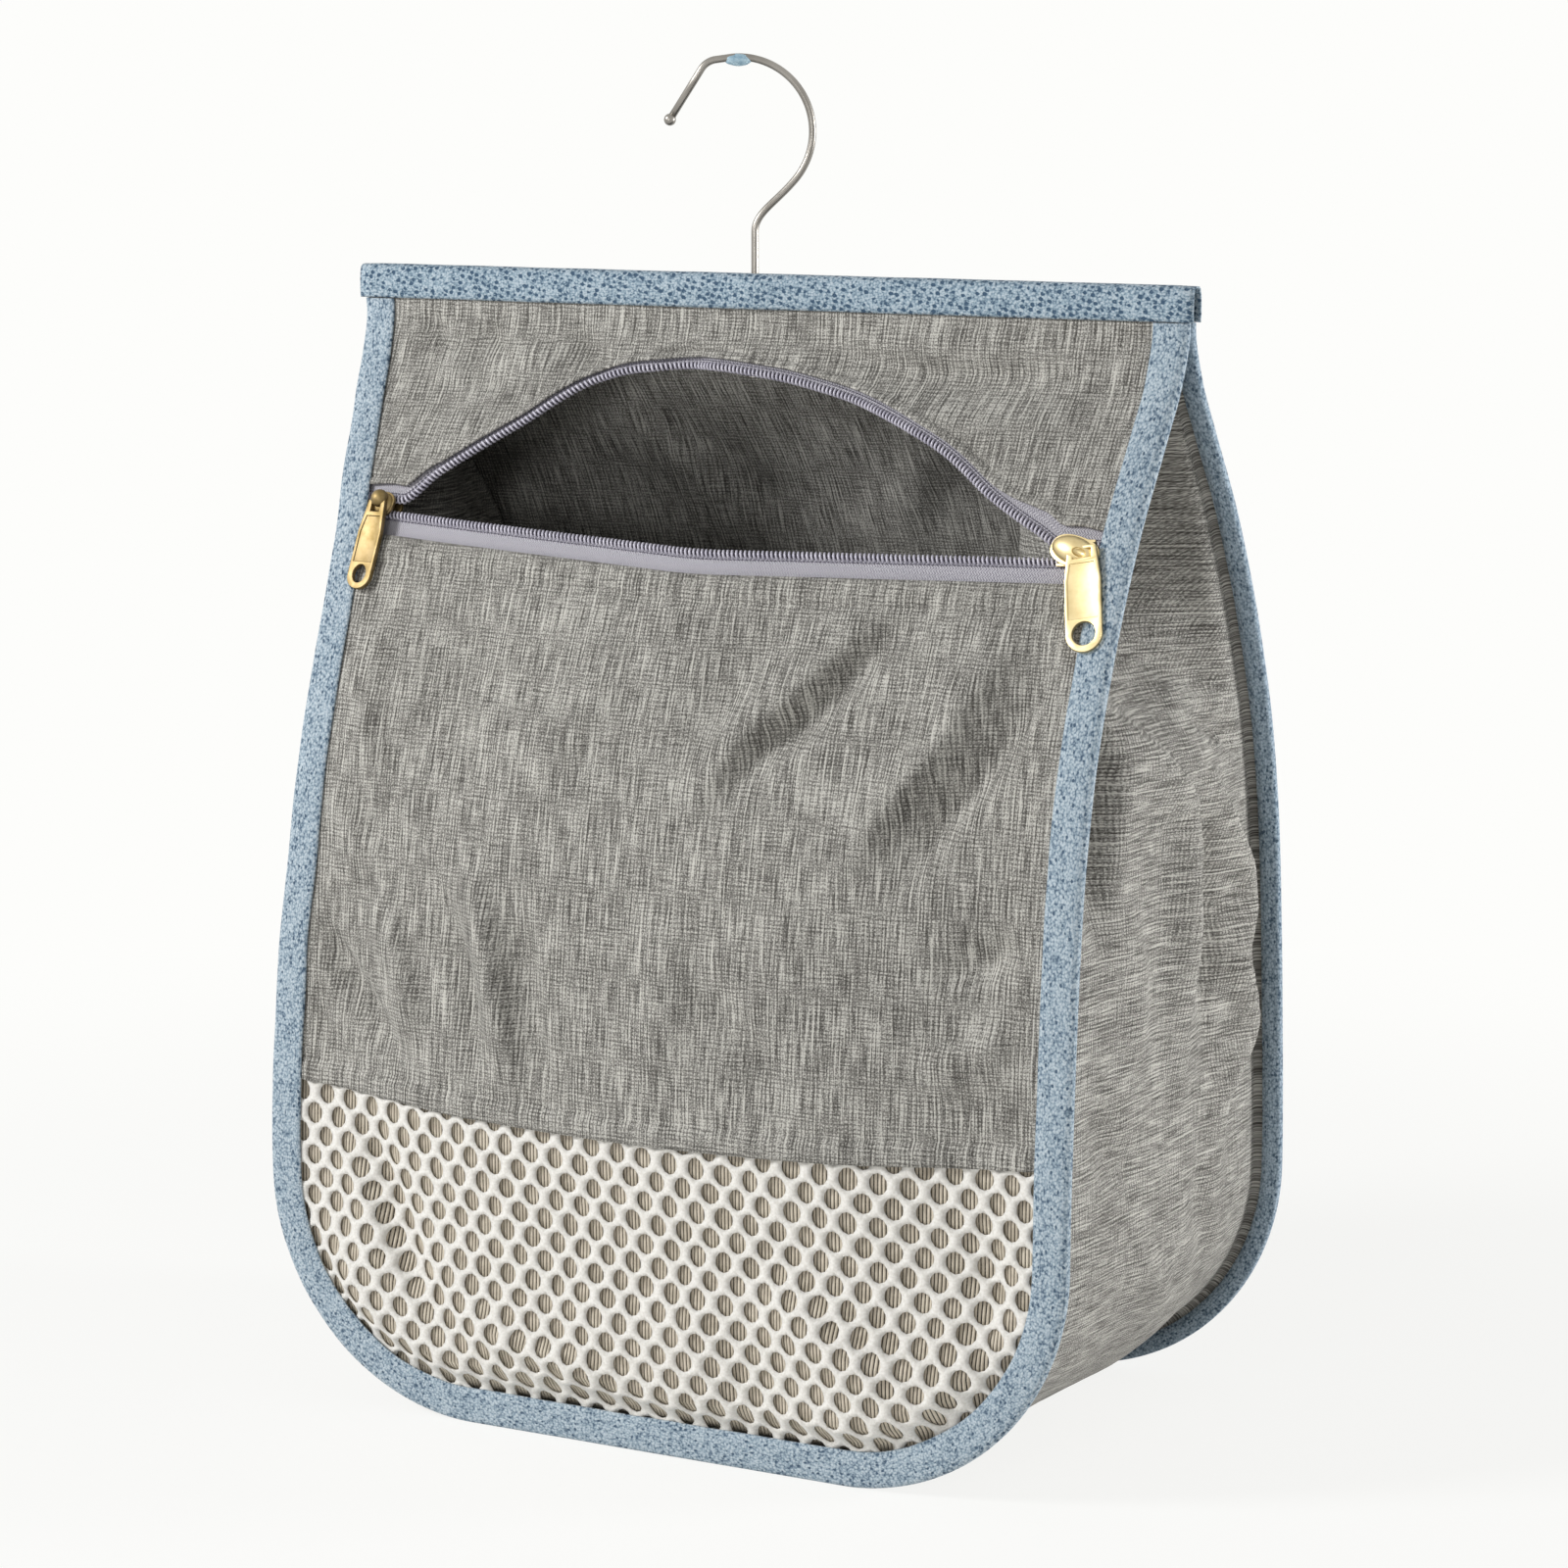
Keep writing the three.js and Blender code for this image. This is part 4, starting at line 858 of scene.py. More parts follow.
# Folds of the right side as (share across, height) points; the left side has them turned round
stripFolds = [
    ([(0.13, 246), (0.19, 223), (0.22, 204), (0.19, 186), (0.17, 150)], 8, -6.5),
    ([(0.16, 236), (0.42, 210), (0.56, 193), (0.54, 170), (0.55, 129), (0.60, 92)], 7, 4.2),
    ([(0.55, 218), (0.77, 189), (0.93, 161), (0.83, 143), (0.90, 119), (0.77, 100), (0.76, 58)], 7, 4.6),
    ([(0.46, 204), (0.68, 182), (0.74, 158), (0.70, 132), (0.72, 96)], 5.5, -2.8),
    ([(0.98, 203), (0.86, 209), (0.68, 217)], 4, -3.4),
    ([(0.97, 222), (0.80, 226), (0.60, 236)], 5, -2.2),
    ([(0.30, 248), (0.55, 240), (0.85, 238)], 5, 2.0),
    ([(0.24, 176), (0.34, 148), (0.36, 110)], 9, 1.8),
    ([(0.12, 120), (0.26, 96), (0.44, 84)], 7, -1.8),
    ([(0.92, 132), (0.98, 128), (0.99, 122)], 4, -2.5),
    ([(0.30, 70), (0.50, 50), (0.66, 30)], 8, 1.8),
    ([(0.62, 92), (0.70, 64), (0.84, 40)], 7, -1.8),
]


def stripCreases(turned):
    folds = []
    for points, width, rise in stripFolds:
        placed = [((1 - a if turned else a) * strip["spread"], z * (strip["leftHeights"] if turned else 1))
                  for a, z in points]
        folds.append((placed, width, rise))
    return prepared(folds)


rightCreases, leftCreases = stripCreases(False), stripCreases(True)


# How far the strip stands out: its folds, and the tuck between the bindings near the top
def stripRise(side, across, z):
    rise = foldRise(rightCreases if side > 0 else leftCreases, across * strip["spread"], z)
    tuck = strip["tuck"] * (strip["leftTuckShare"] if side < 0 else 1)
    tuck *= ease(z, *strip["tuckRises"]) * math.sin(math.pi * across) ** 1.5
    tuck *= 1 - ease(z, *strip["tuckFades"])
    return rise - tuck


# The middle of the strip, from seam to seam: how far it stands out from between the seams
def webRise(across, x, z, inX):
    loose = ease(across, 0, strip["loose"]) * (1 - ease(across, 1 - strip["loose"], 1))
    crumpled = strip["crumple"] * crumple(across * 140, x + z * 1.3, 5.0, strip["crumpleSize"])
    rise = bag["stripBelly"] * math.sin(math.pi * across) + crumpled * loose
    if z > strip["foldsFrom"][0] and abs(inX) > 0.2:  # not under the bag
        folds = stripRise(1 if x > 0 else -1, across, z)
        rise += folds * loose * abs(inX) * ease(z, *strip["foldsFrom"])
    return rise * ease(halfDepth(z), *strip["flatAt"])


def stripPiece():
    stations = outlineStations(strip["top"], strip["step"])
    walked = distancesAlong(stations)
    bend, turns = strip["bend"], steps(0, math.pi / 2, 4)
    section = [(0, size, "flange") for size in strip["flange"]] + [(0, a, "bend") for a in turns]
    section += [(across, 0, "web") for across in steps(0, 1, strip["columns"])[1:-1]]
    section += [(1, a, "bend") for a in turns[::-1]] + [(1, size, "flange") for size in strip["flange"][::-1]]

    def place(part, station):
        across, size, kind = part
        x, z, inX, inZ = station
        lift, inset = -bag["panelLift"], bag["seamInset"]
        if kind == "flange":
            inset = size
        if kind == "bend":
            inset -= bend * (1 - math.sin(size))
            lift -= bend * (1 - math.cos(size))
        if kind == "web":
            inset -= webRise(across, x, z, inX)
            lift -= bend
        x, z = x + inX * inset, z + inZ * inset
        return plainPanel(front, x, z, lift).lerp(plainPanel(back, x, z, lift), across)

    bm = placedGrid(section, stations, place,
                    lambda part, station: (part[0] * 2 * halfDepth(station[1]), walked[station]))
    bmesh.ops.reverse_faces(bm, faces=bm.faces)
    return finishPiece("sideStrip", bm, [clothStrip], "side_gusset",
                       thickness=bag["cloth"])


sideStrip = stripPiece()
print("side strip made")


# Bindings

sideTape = {
    # across the folded tape, from the edge of the outer leg over the fold to the inner leg: inset, lift
    "section": [(10.6, 1.05), (10.4, 1.42), (9.4, 1.62), (7.6, 1.78), (5.2, 1.82), (3.0, 1.72), (1.4, 1.5),
                (0.5, 1.1), (0.15, 0.5), (0.1, 0), (0.15, -0.5), (0.5, -1.05), (1.4, -1.3), (3, -1.35),
                (5.8, -1.35)],
    "thickness": 0.5,
    "top": 331.5,
    "step": 2.2,
    "ripple": 0.28,
    "stray": 0.3,
    "strayFrom": (6, 10),
}


def bindingPiece(name, side, node, material):
    section, stations = sideTape["section"], outlineStations(sideTape["top"], sideTape["step"])
    walked, width = distancesAlong(stations), distancesAlong(section)

    def place(part, station):
        inset, lift = part
        x, z, inX, inZ = station
        at = walked[station]
        ripple = sideTape["ripple"] * uneven(at / 16, inset / 9, side * 4)
        inset += sideTape["stray"] * uneven(at / 22, side, 2.0) * ease(inset, *sideTape["strayFrom"])
        return plainPanel(side, x + inX * inset, z + inZ * inset, lift + ripple * ease(lift, 0, 1.2))

    bm = placedGrid(section, stations, place, lambda part, station: (walked[station], width[part]))
    if side == front:
        bmesh.ops.reverse_faces(bm, faces=bm.faces)
    return finishPiece(name, bm, [material], node, thickness=sideTape["thickness"])


bindingPiece("frontBinding", front, "front_binding", tapeFront)
bindingPiece("backBinding", back, "back_binding", tapeBackPaintedShade)

topTape = {
    # from the foot of the front leg over the top to the foot of the back leg: half depth, height
    "section": [(-3.15, 331.8), (-3.45, 332.6), (-3.6, 334.5), (-3.55, 337), (-3.3, 339.6), (-2.7, 341.2),
                (-1.6, 341.8), (0, 341.9), (1.6, 341.8), (2.7, 341.2), (3.3, 339.6), (3.55, 337),
                (3.6, 334.5), (3.45, 332.6), (3.15, 331.8)],
    "length": 284,
    "columns": 190,
    "thickness": 0.5,
    "ripple": 0.3,
    "pinch": 0.3,  # share of its depth that it loses at the ends
    "pinchLength": 4,
    "hump": 0.25,  # share of its depth that it gains over the hook's boss
    "humpPlace": -2,
    "humpWidth": 9,
    "drop": 0.5,
    "dropLength": 8,
}


def topBindingPiece():
    section, half = topTape["section"], topTape["length"] / 2
    width = distancesAlong(section)

    def place(x, part):
        y, z = part
        hump = math.exp(-((x - topTape["humpPlace"]) / topTape["humpWidth"]) ** 2)
        pinch = 1 - topTape["pinch"] * ease(abs(x), half - topTape["pinchLength"], half)
        ripple = topTape["ripple"] * uneven(x / 18, z / 8, 1.0)
        ripple -= topTape["drop"] * ease(abs(x), half - topTape["dropLength"], half)
        return Vector((x, y * (pinch + topTape["hump"] * hump) + (0.25 * ripple if abs(y) > 2 else 0),
                       z + 0.35 * ripple * (1 if z > 340 else 0.6))) * mm

    bm = placedGrid(steps(-half, half, topTape["columns"]), section, place, lambda x, part: (x, width[part]))
    return finishPiece("topBinding", bm, [tapeTopPaintedShade], "top_binding",
                       thickness=topTape["thickness"])


topBindingPiece()
print("bindings made")


# Net and the ribs behind it

netCloth = {
    "pitch": 8.75,
    "row": 6.45,
    "fall": 0.085,
    "holeWidth": 5.5,
    "holeHeight": 6.5,
    "holeUneven": 0.12,
    "sides": 12,
    "thickness": 0.5,
    "lift": 0.2,
    "round": 0.4,
    "stray": 0.55,
    "strayFrom": (8, 20),
    "edgeInset": 1.2,
    "underHem": 2.5,
}


# One mesh of the net: a six-sided ring of yarn round an oval hole, flat, with its rim marked by y = 1
def netRing(bm, x, z):
    pitch, row, sides = netCloth["pitch"], netCloth["row"], netCloth["sides"]
    tall = pitch * pitch / (8 * row)
    corners = [(pitch / 2, row / 2 - tall), (0, row / 2 + tall), (-pitch / 2, row / 2 - tall),
               (-pitch / 2, tall - row / 2), (0, -row / 2 - tall), (pitch / 2, tall - row / 2)]
    outer = bmesh.ops.create_circle(bm, segments=sides, radius=1)["verts"]
    inner = bmesh.ops.create_circle(bm, segments=sides, radius=1)["verts"]
    width = netCloth["holeWidth"] * (1 + netCloth["holeUneven"] * uneven(x / 13, z / 13, 2.0))
    height = netCloth["holeHeight"] * (1 + netCloth["holeUneven"] * uneven(x / 15, z / 15, 8.0))
    for i in range(sides):
        (ax, az), (bx, bz) = corners[i // 2], corners[(i // 2 + 1) % 6]
        share = 0.5 * (i % 2)
        across, up = ax + (bx - ax) * share, az + (bz - az) * share
        angle = math.atan2(up, across)
        outer[i].co = (x + across, 0, z + up)
        inner[i].co = (x + width / 2 * math.cos(angle), 1, z + height / 2 * math.sin(angle))
    bmesh.ops.bridge_loops(bm, edges=list({side for vert in outer + inner for side in vert.link_edges}))


def netPiece():
    pitch, row, fall = netCloth["pitch"], netCloth["row"], netCloth["fall"]
    bm = bmesh.new()
    for r in range(-3, int(netHem["height"] / row) + 4):
        for c in range(-17, 18):
            x, z = (c + 0.5 * (r % 2)) * pitch, r * row + 2
            level = z - fall * x
            left, right = (edge(side, max(level, 2), 5) for side in (-1, 1))
            if -row < level < netSeamZ(x) + 3 and left < x < right:
                netRing(bm, x, z)
    bmesh.ops.remove_doubles(bm, verts=bm.verts, dist=0.05)
    layer = bm.loops.layers.uv.new("cloth")
    for face in bm.faces:
        for loop in face.loops:
            loop[layer].uv = (loop.vert.co.x, loop.vert.co.z)
    for vert in bm.verts:
        x, rim, z = vert.co
        z -= fall * x
        stray = netCloth["stray"] * ease(z, *netCloth["strayFrom"])
        x += stray * uneven(x / 11, z / 11, 1.0)
        z += stray * uneven(x / 11, z / 11, 6.0)
        z = clamp(z, netCloth["edgeInset"], netSeamZ(x) + netCloth["underHem"])
        x = clamp(x, edge(-1, z, netCloth["edgeInset"]), edge(1, z, netCloth["edgeInset"]))
        vert.co = onPanel(front, x, z, netCloth["lift"] + netCloth["round"] * (1 - rim))
    bmesh.ops.dissolve_degenerate(bm, dist=1e-6, edges=bm.edges)
    bmesh.ops.recalc_face_normals(bm, faces=bm.faces)
    return finishPiece("netPanel", bm, [netYarn], "mesh_panel", thickness=netCloth["thickness"])


sheer = {
    "pitch": 1.16,
    "share": 0.735,
    "rows": 30,
    "lift": -0.75,
    "thickness": 0.25,
    "foot": 10.8,
    "underHem": 2,
    "start": edge(-1, 90, 9.1),
    "end": edge(1, 90, 9.1),
    "cornerInset": 9.4,
}


def sheerPiece():
    low, high = sheer["foot"], netHem["height"] + 1
    start, pitch = sheer["start"], sheer["pitch"]
    columns = []
    for i in range(int((sheer["end"] - start) / pitch)):
        columns += [i * pitch, (i + sheer["share"]) * pitch]

    def place(column, share):
        x, lowest = start + column, low
        for side in (-1, 1):
            for z in steps(low, bag["corner"], 12):
                if side * x > side * edge(side, z, sheer["cornerInset"]):
                    lowest = max(lowest, z + 1)
        z = lowest + (min(high, netSeamZ(x) + sheer["underHem"]) - lowest) * share
        return onPanel(front, x, z, sheer["lift"])

    bm = placedGrid(columns, steps(0, 1, sheer["rows"]), place,
                    lambda column, share: (start + column, share * high))
    layer = bm.loops.layers.uv["cloth"]
    gaps = [face for face in bm.faces
            if round(min(loop[layer].uv.x - start for loop in face.loops) / pitch * 2) % 2 == 1]
    bmesh.ops.delete(bm, geom=gaps, context="FACES")
    return finishPiece("netLining", bm, [sheerYarn], "mesh_lining",
                       thickness=sheer["thickness"])


netPanel = netPiece()
netLining = sheerPiece()
print("net made")


# Zip tapes and coils

zipTape = {"columns": 180, "rows": 6, "underCoil": 0.4, "thickness": 0.5, "endHeight": 280, "endInset": 7.5}
zipEnds = [edge(side, zipTape["endHeight"], zipTape["endInset"]) for side in (-1, 1)]


def zipTapePiece(half):
    edges = [zipTape["underCoil"], zipLine["tapeStart"] + zipLine["tapeWidth"]]
    if half == "lower":
        edges.reverse()

    def place(x, share):
        low, high = (besideCoil(half, x, away) for away in edges)
        return onPanel(front, x, low + (high - low) * share, -bag["panelLift"])

    bm = placedGrid(steps(*zipEnds, zipTape["columns"]), steps(0, 1, zipTape["rows"]), place,
                    lambda x, share: (x, share * zipLine["tapeWidth"]))
    return finishPiece(f"{half}ZipTape", bm, [zipTwill], f"zip_tape_{half}",
                       thickness=zipTape["thickness"])


coil = {"pitch": 1.4, "wire": 0.38, "core": 0.55, "high": 1.1, "deep": 0.8, "steps": 8, "lift": 0.25,
        "sides": 6, "ahead": 0.2, "coreSteps": 160}


# A coil is one nylon wire wound along the edge of its tape
def zipCoilPiece(half):
    coilZ = zipHalves[half][1]

    def centre(x):
        return onPanel(front, x, coilZ(x), coil["lift"] - bag["panelLift"])

    points, phase, x = [], 0, zipEnds[0]
    while x < zipEnds[1]:
        here, there = centre(x), centre(x + coil["ahead"])
        along = (there - here).normalized()
        out = frontNormal(x, coilZ(x))
        rise = out.cross(along).normalized()
        turn = 2 * math.pi * phase
        wound = rise * math.cos(turn) * coil["high"] + out * math.sin(turn) * coil["deep"]
        points.append(here + wound * mm)
        x += coil["pitch"] / coil["steps"] * coil["ahead"] * mm / (there - here).length
        phase += 1 / coil["steps"]
    bm = tube(points, coil["wire"], coil["sides"])
    # The core cord's dark colour is painted shade between the coil's turns
    core = tube([centre(x) for x in steps(*zipEnds, coil["coreSteps"])], coil["core"], coil["sides"])
    for face in core.faces:
        face.material_index = 1
    addInto(bm, core)
    return finishPiece(f"{half}ZipCoil", bm, [coilNylon, coilCorePaintedShade], f"zip_coil_{half}")


for half in zipHalves:
    zipTapePiece(half)
for half in zipHalves:
    zipCoilPiece(half)
print("zip made")


# Sewing thread

sewing = {"spacing": 2.6, "length": 2.0, "radius": 0.2, "lift": 0.9, "inset": 11, "hemEdge": 1.4,
          "flapEdge": 2.2}
coilSewing = {"spacing": 1.3, "length": 1.25, "radius": 0.22, "lift": 0.05, "away": 1.75, "endInset": 4}


# Places along a line between the bindings, which stand as far apart as they do at the level z
def acrossAt(z, count, line):
    return [(x, line(x)) for x in steps(edge(-1, z, sewing["inset"]), edge(1, z, sewing["inset"]), count)]


def seamThreads():
    bm = bmesh.new()
    lift, band = sewing["lift"], panels["hemBand"] * zipDown
    stitches(bm, acrossAt(262, 120, lambda x: lowerClothZ(x) - sewing["hemEdge"]), lift + 0.45, sewing)
    stitches(bm, acrossAt(262, 120, lambda x: lowerClothZ(x) - band), lift - 0.1, sewing)
    stitches(bm, acrossAt(100, 120, lambda x: netSeamZ(x) + netHem["band"]), lift, sewing)
    flap = acrossAt(285, 160, lambda x: upperClothZ(x) + sewing["flapEdge"] * squareToArch(x))
    stitches(bm, flap, lift, sewing)
    return finishPiece("seamThreads", bm, [threadGrey])


# The dark stitches along the coils also carry painted shade
def coilThreads():
    bm = bmesh.new()
    for half in zipHalves:
        start, end = zipEnds[0] + coilSewing["endInset"], zipEnds[1] - coilSewing["endInset"]
        places = [(x, besideCoil(half, x, coilSewing["away"])) for x in steps(start, end, 150)]
        stitches(bm, places, coilSewing["lift"], coilSewing)
    return finishPiece("coilThreads", bm, [threadLilacPaintedShade])


seamThread = seamThreads()
coilThreads()
print("threads made")


# Sliders and pulls

sliders = {
    "left": {"length": 8.8, "width": 7.8, "turn": 0, "pullWidth": 8.6, "pullTop": 6.0, "pullLength": 29,
             "hole": (4.8, 5.8), "aside": 0, "lean": 0,
             # radii and place of the dome on the plate, and of the ball on the dome
             "dome": ((4.0, 3.5, 1.5), (0, 0, -0.05)), "ball": ((2.75, 2.75, 2.6), (0.1, 0.9, 1.7))},
    "right": {"length": 15.0, "width": 9.2, "turn": -17, "pullWidth": 10.6, "pullTop": 8.2, "pullLength": 32,
              "hole": (7.0, 7.0), "aside": 2.8, "lean": -6,
              # the same of the egg-shaped crown, and of its pocket for the pull's bar
              "dome": ((6.8, 4.0, 3.1), (-0.4, 0.2, -0.05)), "pocket": ((2.5, 1.5, 2.0), (3.0, -0.6, 3.4))},
    "plate": 1.1,
    "inner": 1.6,
    "squareness": 2.5,
    "wall": 0.7,
    "wallInset": 0.9,
    "wallShort": 4.6,
    "wallGap": 0.6,
    "hinge": 4.4,
    "softness": 0.22,
}


def jointNamed(name):
    return next(joint for joint in frame["joints"] if joint["name"] == name)


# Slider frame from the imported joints: X along the chain, Z out of the cloth
def sliderFrame(name):
    along = Vector(jointNamed(name + "_slider_slide")["axis"]).normalized()
    if along.x < 0:
        along.negate()
    angle = lean(zipLine["height"])
    out = Vector((0, -math.sin(angle), -math.cos(angle))).cross(along).normalized()
    origin = Vector(jointNamed(name + "_pull_swing")["pos_m"]) - out * sliders["hinge"] * mm
    return Matrix.Translation(origin) @ Matrix((along, out.cross(along), out)).transposed().to_4x4()


# Pull frame from its hinge and its CAD node: X along the hinge, Y up the pull
def pullFrame(name):
    swing = jointNamed(name + "_pull_swing")
    right, hinge = -Vector(swing["axis"]).normalized(), Vector(swing["pos_m"])
    low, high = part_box("zip_pull_" + name)
    down = (low + high) / 2 - hinge
    down = (down - right * down.dot(right)).normalized()
    return Matrix.Translation(hinge) @ Matrix((right, -down, right.cross(-down))).transposed().to_4x4()


# Draws the one face of a bmesh out to a solid of a height in millimetres
def drawnOut(bm, height):
    made = bmesh.ops.extrude_face_region(bm, geom=bm.faces[:])
    moved = [part for part in made["geom"] if isinstance(part, bmesh.types.BMVert)]
    bmesh.ops.translate(bm, verts=moved, vec=(0, 0, height * mm))
    bmesh.ops.recalc_face_normals(bm, faces=bm.faces)
    return bm


def prism(points, low, high):
    bm = bmesh.new()
    bm.faces.new([bm.verts.new((x * mm, y * mm, low * mm)) for x, y in points])
    return drawnOut(bm, high - low)


def ovalPlate(length, width, low, high):
    bm = bmesh.new()
    bmesh.ops.create_circle(bm, cap_ends=True, segments=40, radius=1)
    for vert in bm.verts:
        angle = math.atan2(vert.co.y, vert.co.x)
        x, y = (math.copysign(abs(share) ** (2 / sliders["squareness"]), share)
                for share in (math.cos(angle), math.sin(angle)))
        vert.co = (x * length / 2 * mm, y * width / 2 * mm, low * mm)
    return drawnOut(bm, high - low)


# An ellipsoid over a plate's top, or its upper half
def ellipsoid(radii, place, top, halved=False):
    bm = bmesh.new()
    bmesh.ops.create_uvsphere(bm, u_segments=48, v_segments=24, radius=1)
    if halved:
        bmesh.ops.bisect_plane(bm, geom=bm.verts[:] + bm.edges[:] + bm.faces[:], plane_co=(0, 0, 0),
                               plane_no=(0, 0, 1), clear_inner=True)
        bmesh.ops.holes_fill(bm, edges=bm.edges)
    bmesh.ops.scale(bm, verts=bm.verts, vec=Vector(radii) * mm)
    bmesh.ops.translate(bm, verts=bm.verts, vec=(Vector(place) + Vector((0, 0, top))) * mm)
    return bm


# The first bmesh with the others cut away
def cutWith(bm, cutters):
    parts = [newObject("part", newMesh("part", each)) for each in (bm, *cutters)]
    for cutter in parts[1:]:
        cut = parts[0].modifiers.new("cut", "BOOLEAN")
        cut.object = cutter
        cut.operation = "DIFFERENCE"
        cut.solver = "EXACT"
    result = bmesh.new()
    result.from_object(parts[0], bpy.context.evaluated_depsgraph_get())
    for part in parts:
        mesh = part.data
        bpy.data.objects.remove(part)
        bpy.data.meshes.remove(mesh)
    return result


def soften(piece, width, angle):
    bevel = piece.modifiers.new("softened", "BEVEL")
    bevel.width = width * mm
    bevel.segments = 3
    bevel.limit_method = "ANGLE"
    bevel.angle_limit = math.radians(angle)
    bevel.harden_normals = False


def sliderPiece(name, material):
    shape = sliders[name]
    length, width = shape["length"], shape["width"]
    inner, top = sliders["inner"], sliders["inner"] + sliders["plate"]
    bm = ovalPlate(length, width, inner, top)
    addInto(bm, ovalPlate(length, width, -top, -inner))
    dome = ellipsoid(*shape["dome"], top, True)
    if "pocket" in shape:
        dome = cutWith(dome, [ellipsoid(*shape["pocket"], top)])
    addInto(bm, dome)
    if "ball" in shape:
        addInto(bm, ellipsoid(*shape["ball"], top))
    bmesh.ops.rotate(bm, verts=bm.verts, matrix=Matrix.Rotation(math.radians(shape["turn"]), 3, "Z"))
    low, high = sliders["wallGap"], inner + 0.1
    size = Matrix.Diagonal(((length - sliders["wallShort"]) * mm, sliders["wall"] * mm, (high - low) * mm, 1))
    for side in (-1, 1):
        for level in (1, -1):
            place = (0, side * (width / 2 - sliders["wallInset"]) * mm, level * (high + low) / 2 * mm)
            bmesh.ops.create_cube(bm, size=1, matrix=Matrix.Translation(place) @ size)
    bmesh.ops.transform(bm, matrix=sliderFrame(name), verts=bm.verts)
    piece = finishPiece(f"{name}Slider", bm, [material], f"zip_slider_{name}", f"{name}_slider")
    soften(piece, sliders["softness"], 40)


pull = {
    "thick": 1.6,
    "rim": 0.9,
    "recess": 0.35,
    "overHinge": 0.75,
    "holeRim": 1.9,
    "bar": (-0.8, -3.6),  # the slot for the slider's loop, below the hinge
    "barRim": 1.35,
    "shoulder": -10,
    "top": 0.1,
    "panelTop": -5.0,
    "softness": 0.2,
}


def pullOutline(shape):
    half, topHalf = shape["pullWidth"] / 2, shape["pullTop"] / 2
    foot = pull["overHinge"] - shape["pullLength"] + half
    points = [(half * math.cos(a), foot + half * math.sin(a)) for a in steps(math.pi, 2 * math.pi, 20)]
    rise = pull["top"] - pull["shoulder"]
    right = [(half * (1 - t) + topHalf * t, pull["shoulder"] + rise * t) for t in steps(0, 1, 8)]
    return points + right + [(-x, y) for x, y in right[::-1]]


def pullPiece(name, material):
    shape = sliders[name]
    half, recess = pull["thick"] / 2, pull["recess"]
    holeWidth, holeHeight = shape["hole"]
    holeY = pull["overHinge"] - shape["pullLength"] + pull["holeRim"] + holeHeight / 2
    hole = [(holeWidth / 2 * math.cos(a), holeY + holeHeight / 2 * math.sin(a))
            for a in steps(0, 2 * math.pi, 32)[:-1]]
    side, (barTop, barFoot) = shape["pullTop"] / 2 - pull["barRim"], pull["bar"]
    slot = [(-side, barTop), (side, barTop), (side, barFoot), (-side, barFoot)]
    wide = shape["pullWidth"] / 2 - pull["rim"]
    narrow = shape["pullTop"] / 2 - pull["rim"] + pull["recess"]
    low = holeY + holeHeight / 2 + pull["rim"]
    panel = [(-wide, low), (wide, low), (wide, pull["shoulder"]), (narrow, pull["panelTop"]),
             (-narrow, pull["panelTop"]), (-wide, pull["shoulder"])]
    bm = cutWith(prism(pullOutline(shape), -half, half),
                 [prism(hole, -2 * half, 2 * half), prism(slot, -2 * half, 2 * half),
                  prism(panel, half - recess, 2 * half), prism(panel, -2 * half, recess - half)])
    bmesh.ops.rotate(bm, verts=bm.verts, matrix=Matrix.Rotation(math.radians(shape["lean"]), 3, "Z"))
    bmesh.ops.translate(bm, verts=bm.verts, vec=(shape["aside"] * mm, 0, 0))
    bmesh.ops.transform(bm, matrix=pullFrame(name), verts=bm.verts)
    piece = finishPiece(f"{name}Pull", bm, [material], f"zip_pull_{name}", f"{name}_pull")
    soften(piece, pull["softness"], 30)


plating = {"left": agedBrass, "right": paleBrass}
for name in plating:
    sliderPiece(name, plating[name])
for name in plating:
    pullPiece(name, plating[name])
print("sliders made")


# Hook

hook = {
    "wire": 1.1,
    "foot": -30.6,
    "neck": 12.5,  # the wire runs straight up to here
    "softness": (5.5, 9.0),
    "crown": ((-4.7, 41.9), 21.8, -40, 95),  # centre, radius and the angles where the bend starts and ends
    "shoulder": ((-10.7, 57.0), 6.0, 95, 147),
    "tipPlace": (-25.1, 45.4),
    "tip": 1.8,
    "turn": 29,
    "offset": -2,
    "sleevePlace": (-4.7, 62.9),
    "sleeve": (4.1, 1.75, 1.8),
    "sleeveUneven": 0.14,
}


def arcPoints(bend, count):
    (x, z), radius, start, end = bend
    return [(x + radius * math.cos(a), z + radius * math.sin(a))
            for a in steps(math.radians(start), math.radians(end), count)]


# The wire in its own plane: neck, easy turn, crown, shoulder and straight end
def hookLine():
    crown = arcPoints(hook["crown"], 60)
    neck, (low, high) = hook["neck"], hook["softness"]
    start, join = math.radians(hook["crown"][2]), crown[0]
    handles = ((0, neck), (0, neck + low),
               (join[0] + high * math.sin(start), join[1] - high * math.cos(start)), join)
    line = [(0, hook["foot"]), (0, -10), (0, 0), (0, neck * 0.6)]
    for t in steps(0, 1, 16)[:-1]:
        s = 1 - t
        weights = (s ** 3, 3 * s * s * t, 3 * s * t * t, t ** 3)
        line.append(tuple(sum(w * p[i] for w, p in zip(weights, handles)) for i in (0, 1)))
    return line + crown + arcPoints(hook["shoulder"], 16) + [hook["tipPlace"]]


def hookPlace(u, z):
    turn = math.radians(hook["turn"])
    return Vector((hook["offset"] + u * math.cos(turn), u * math.sin(turn), bag["height"] + z)) * mm


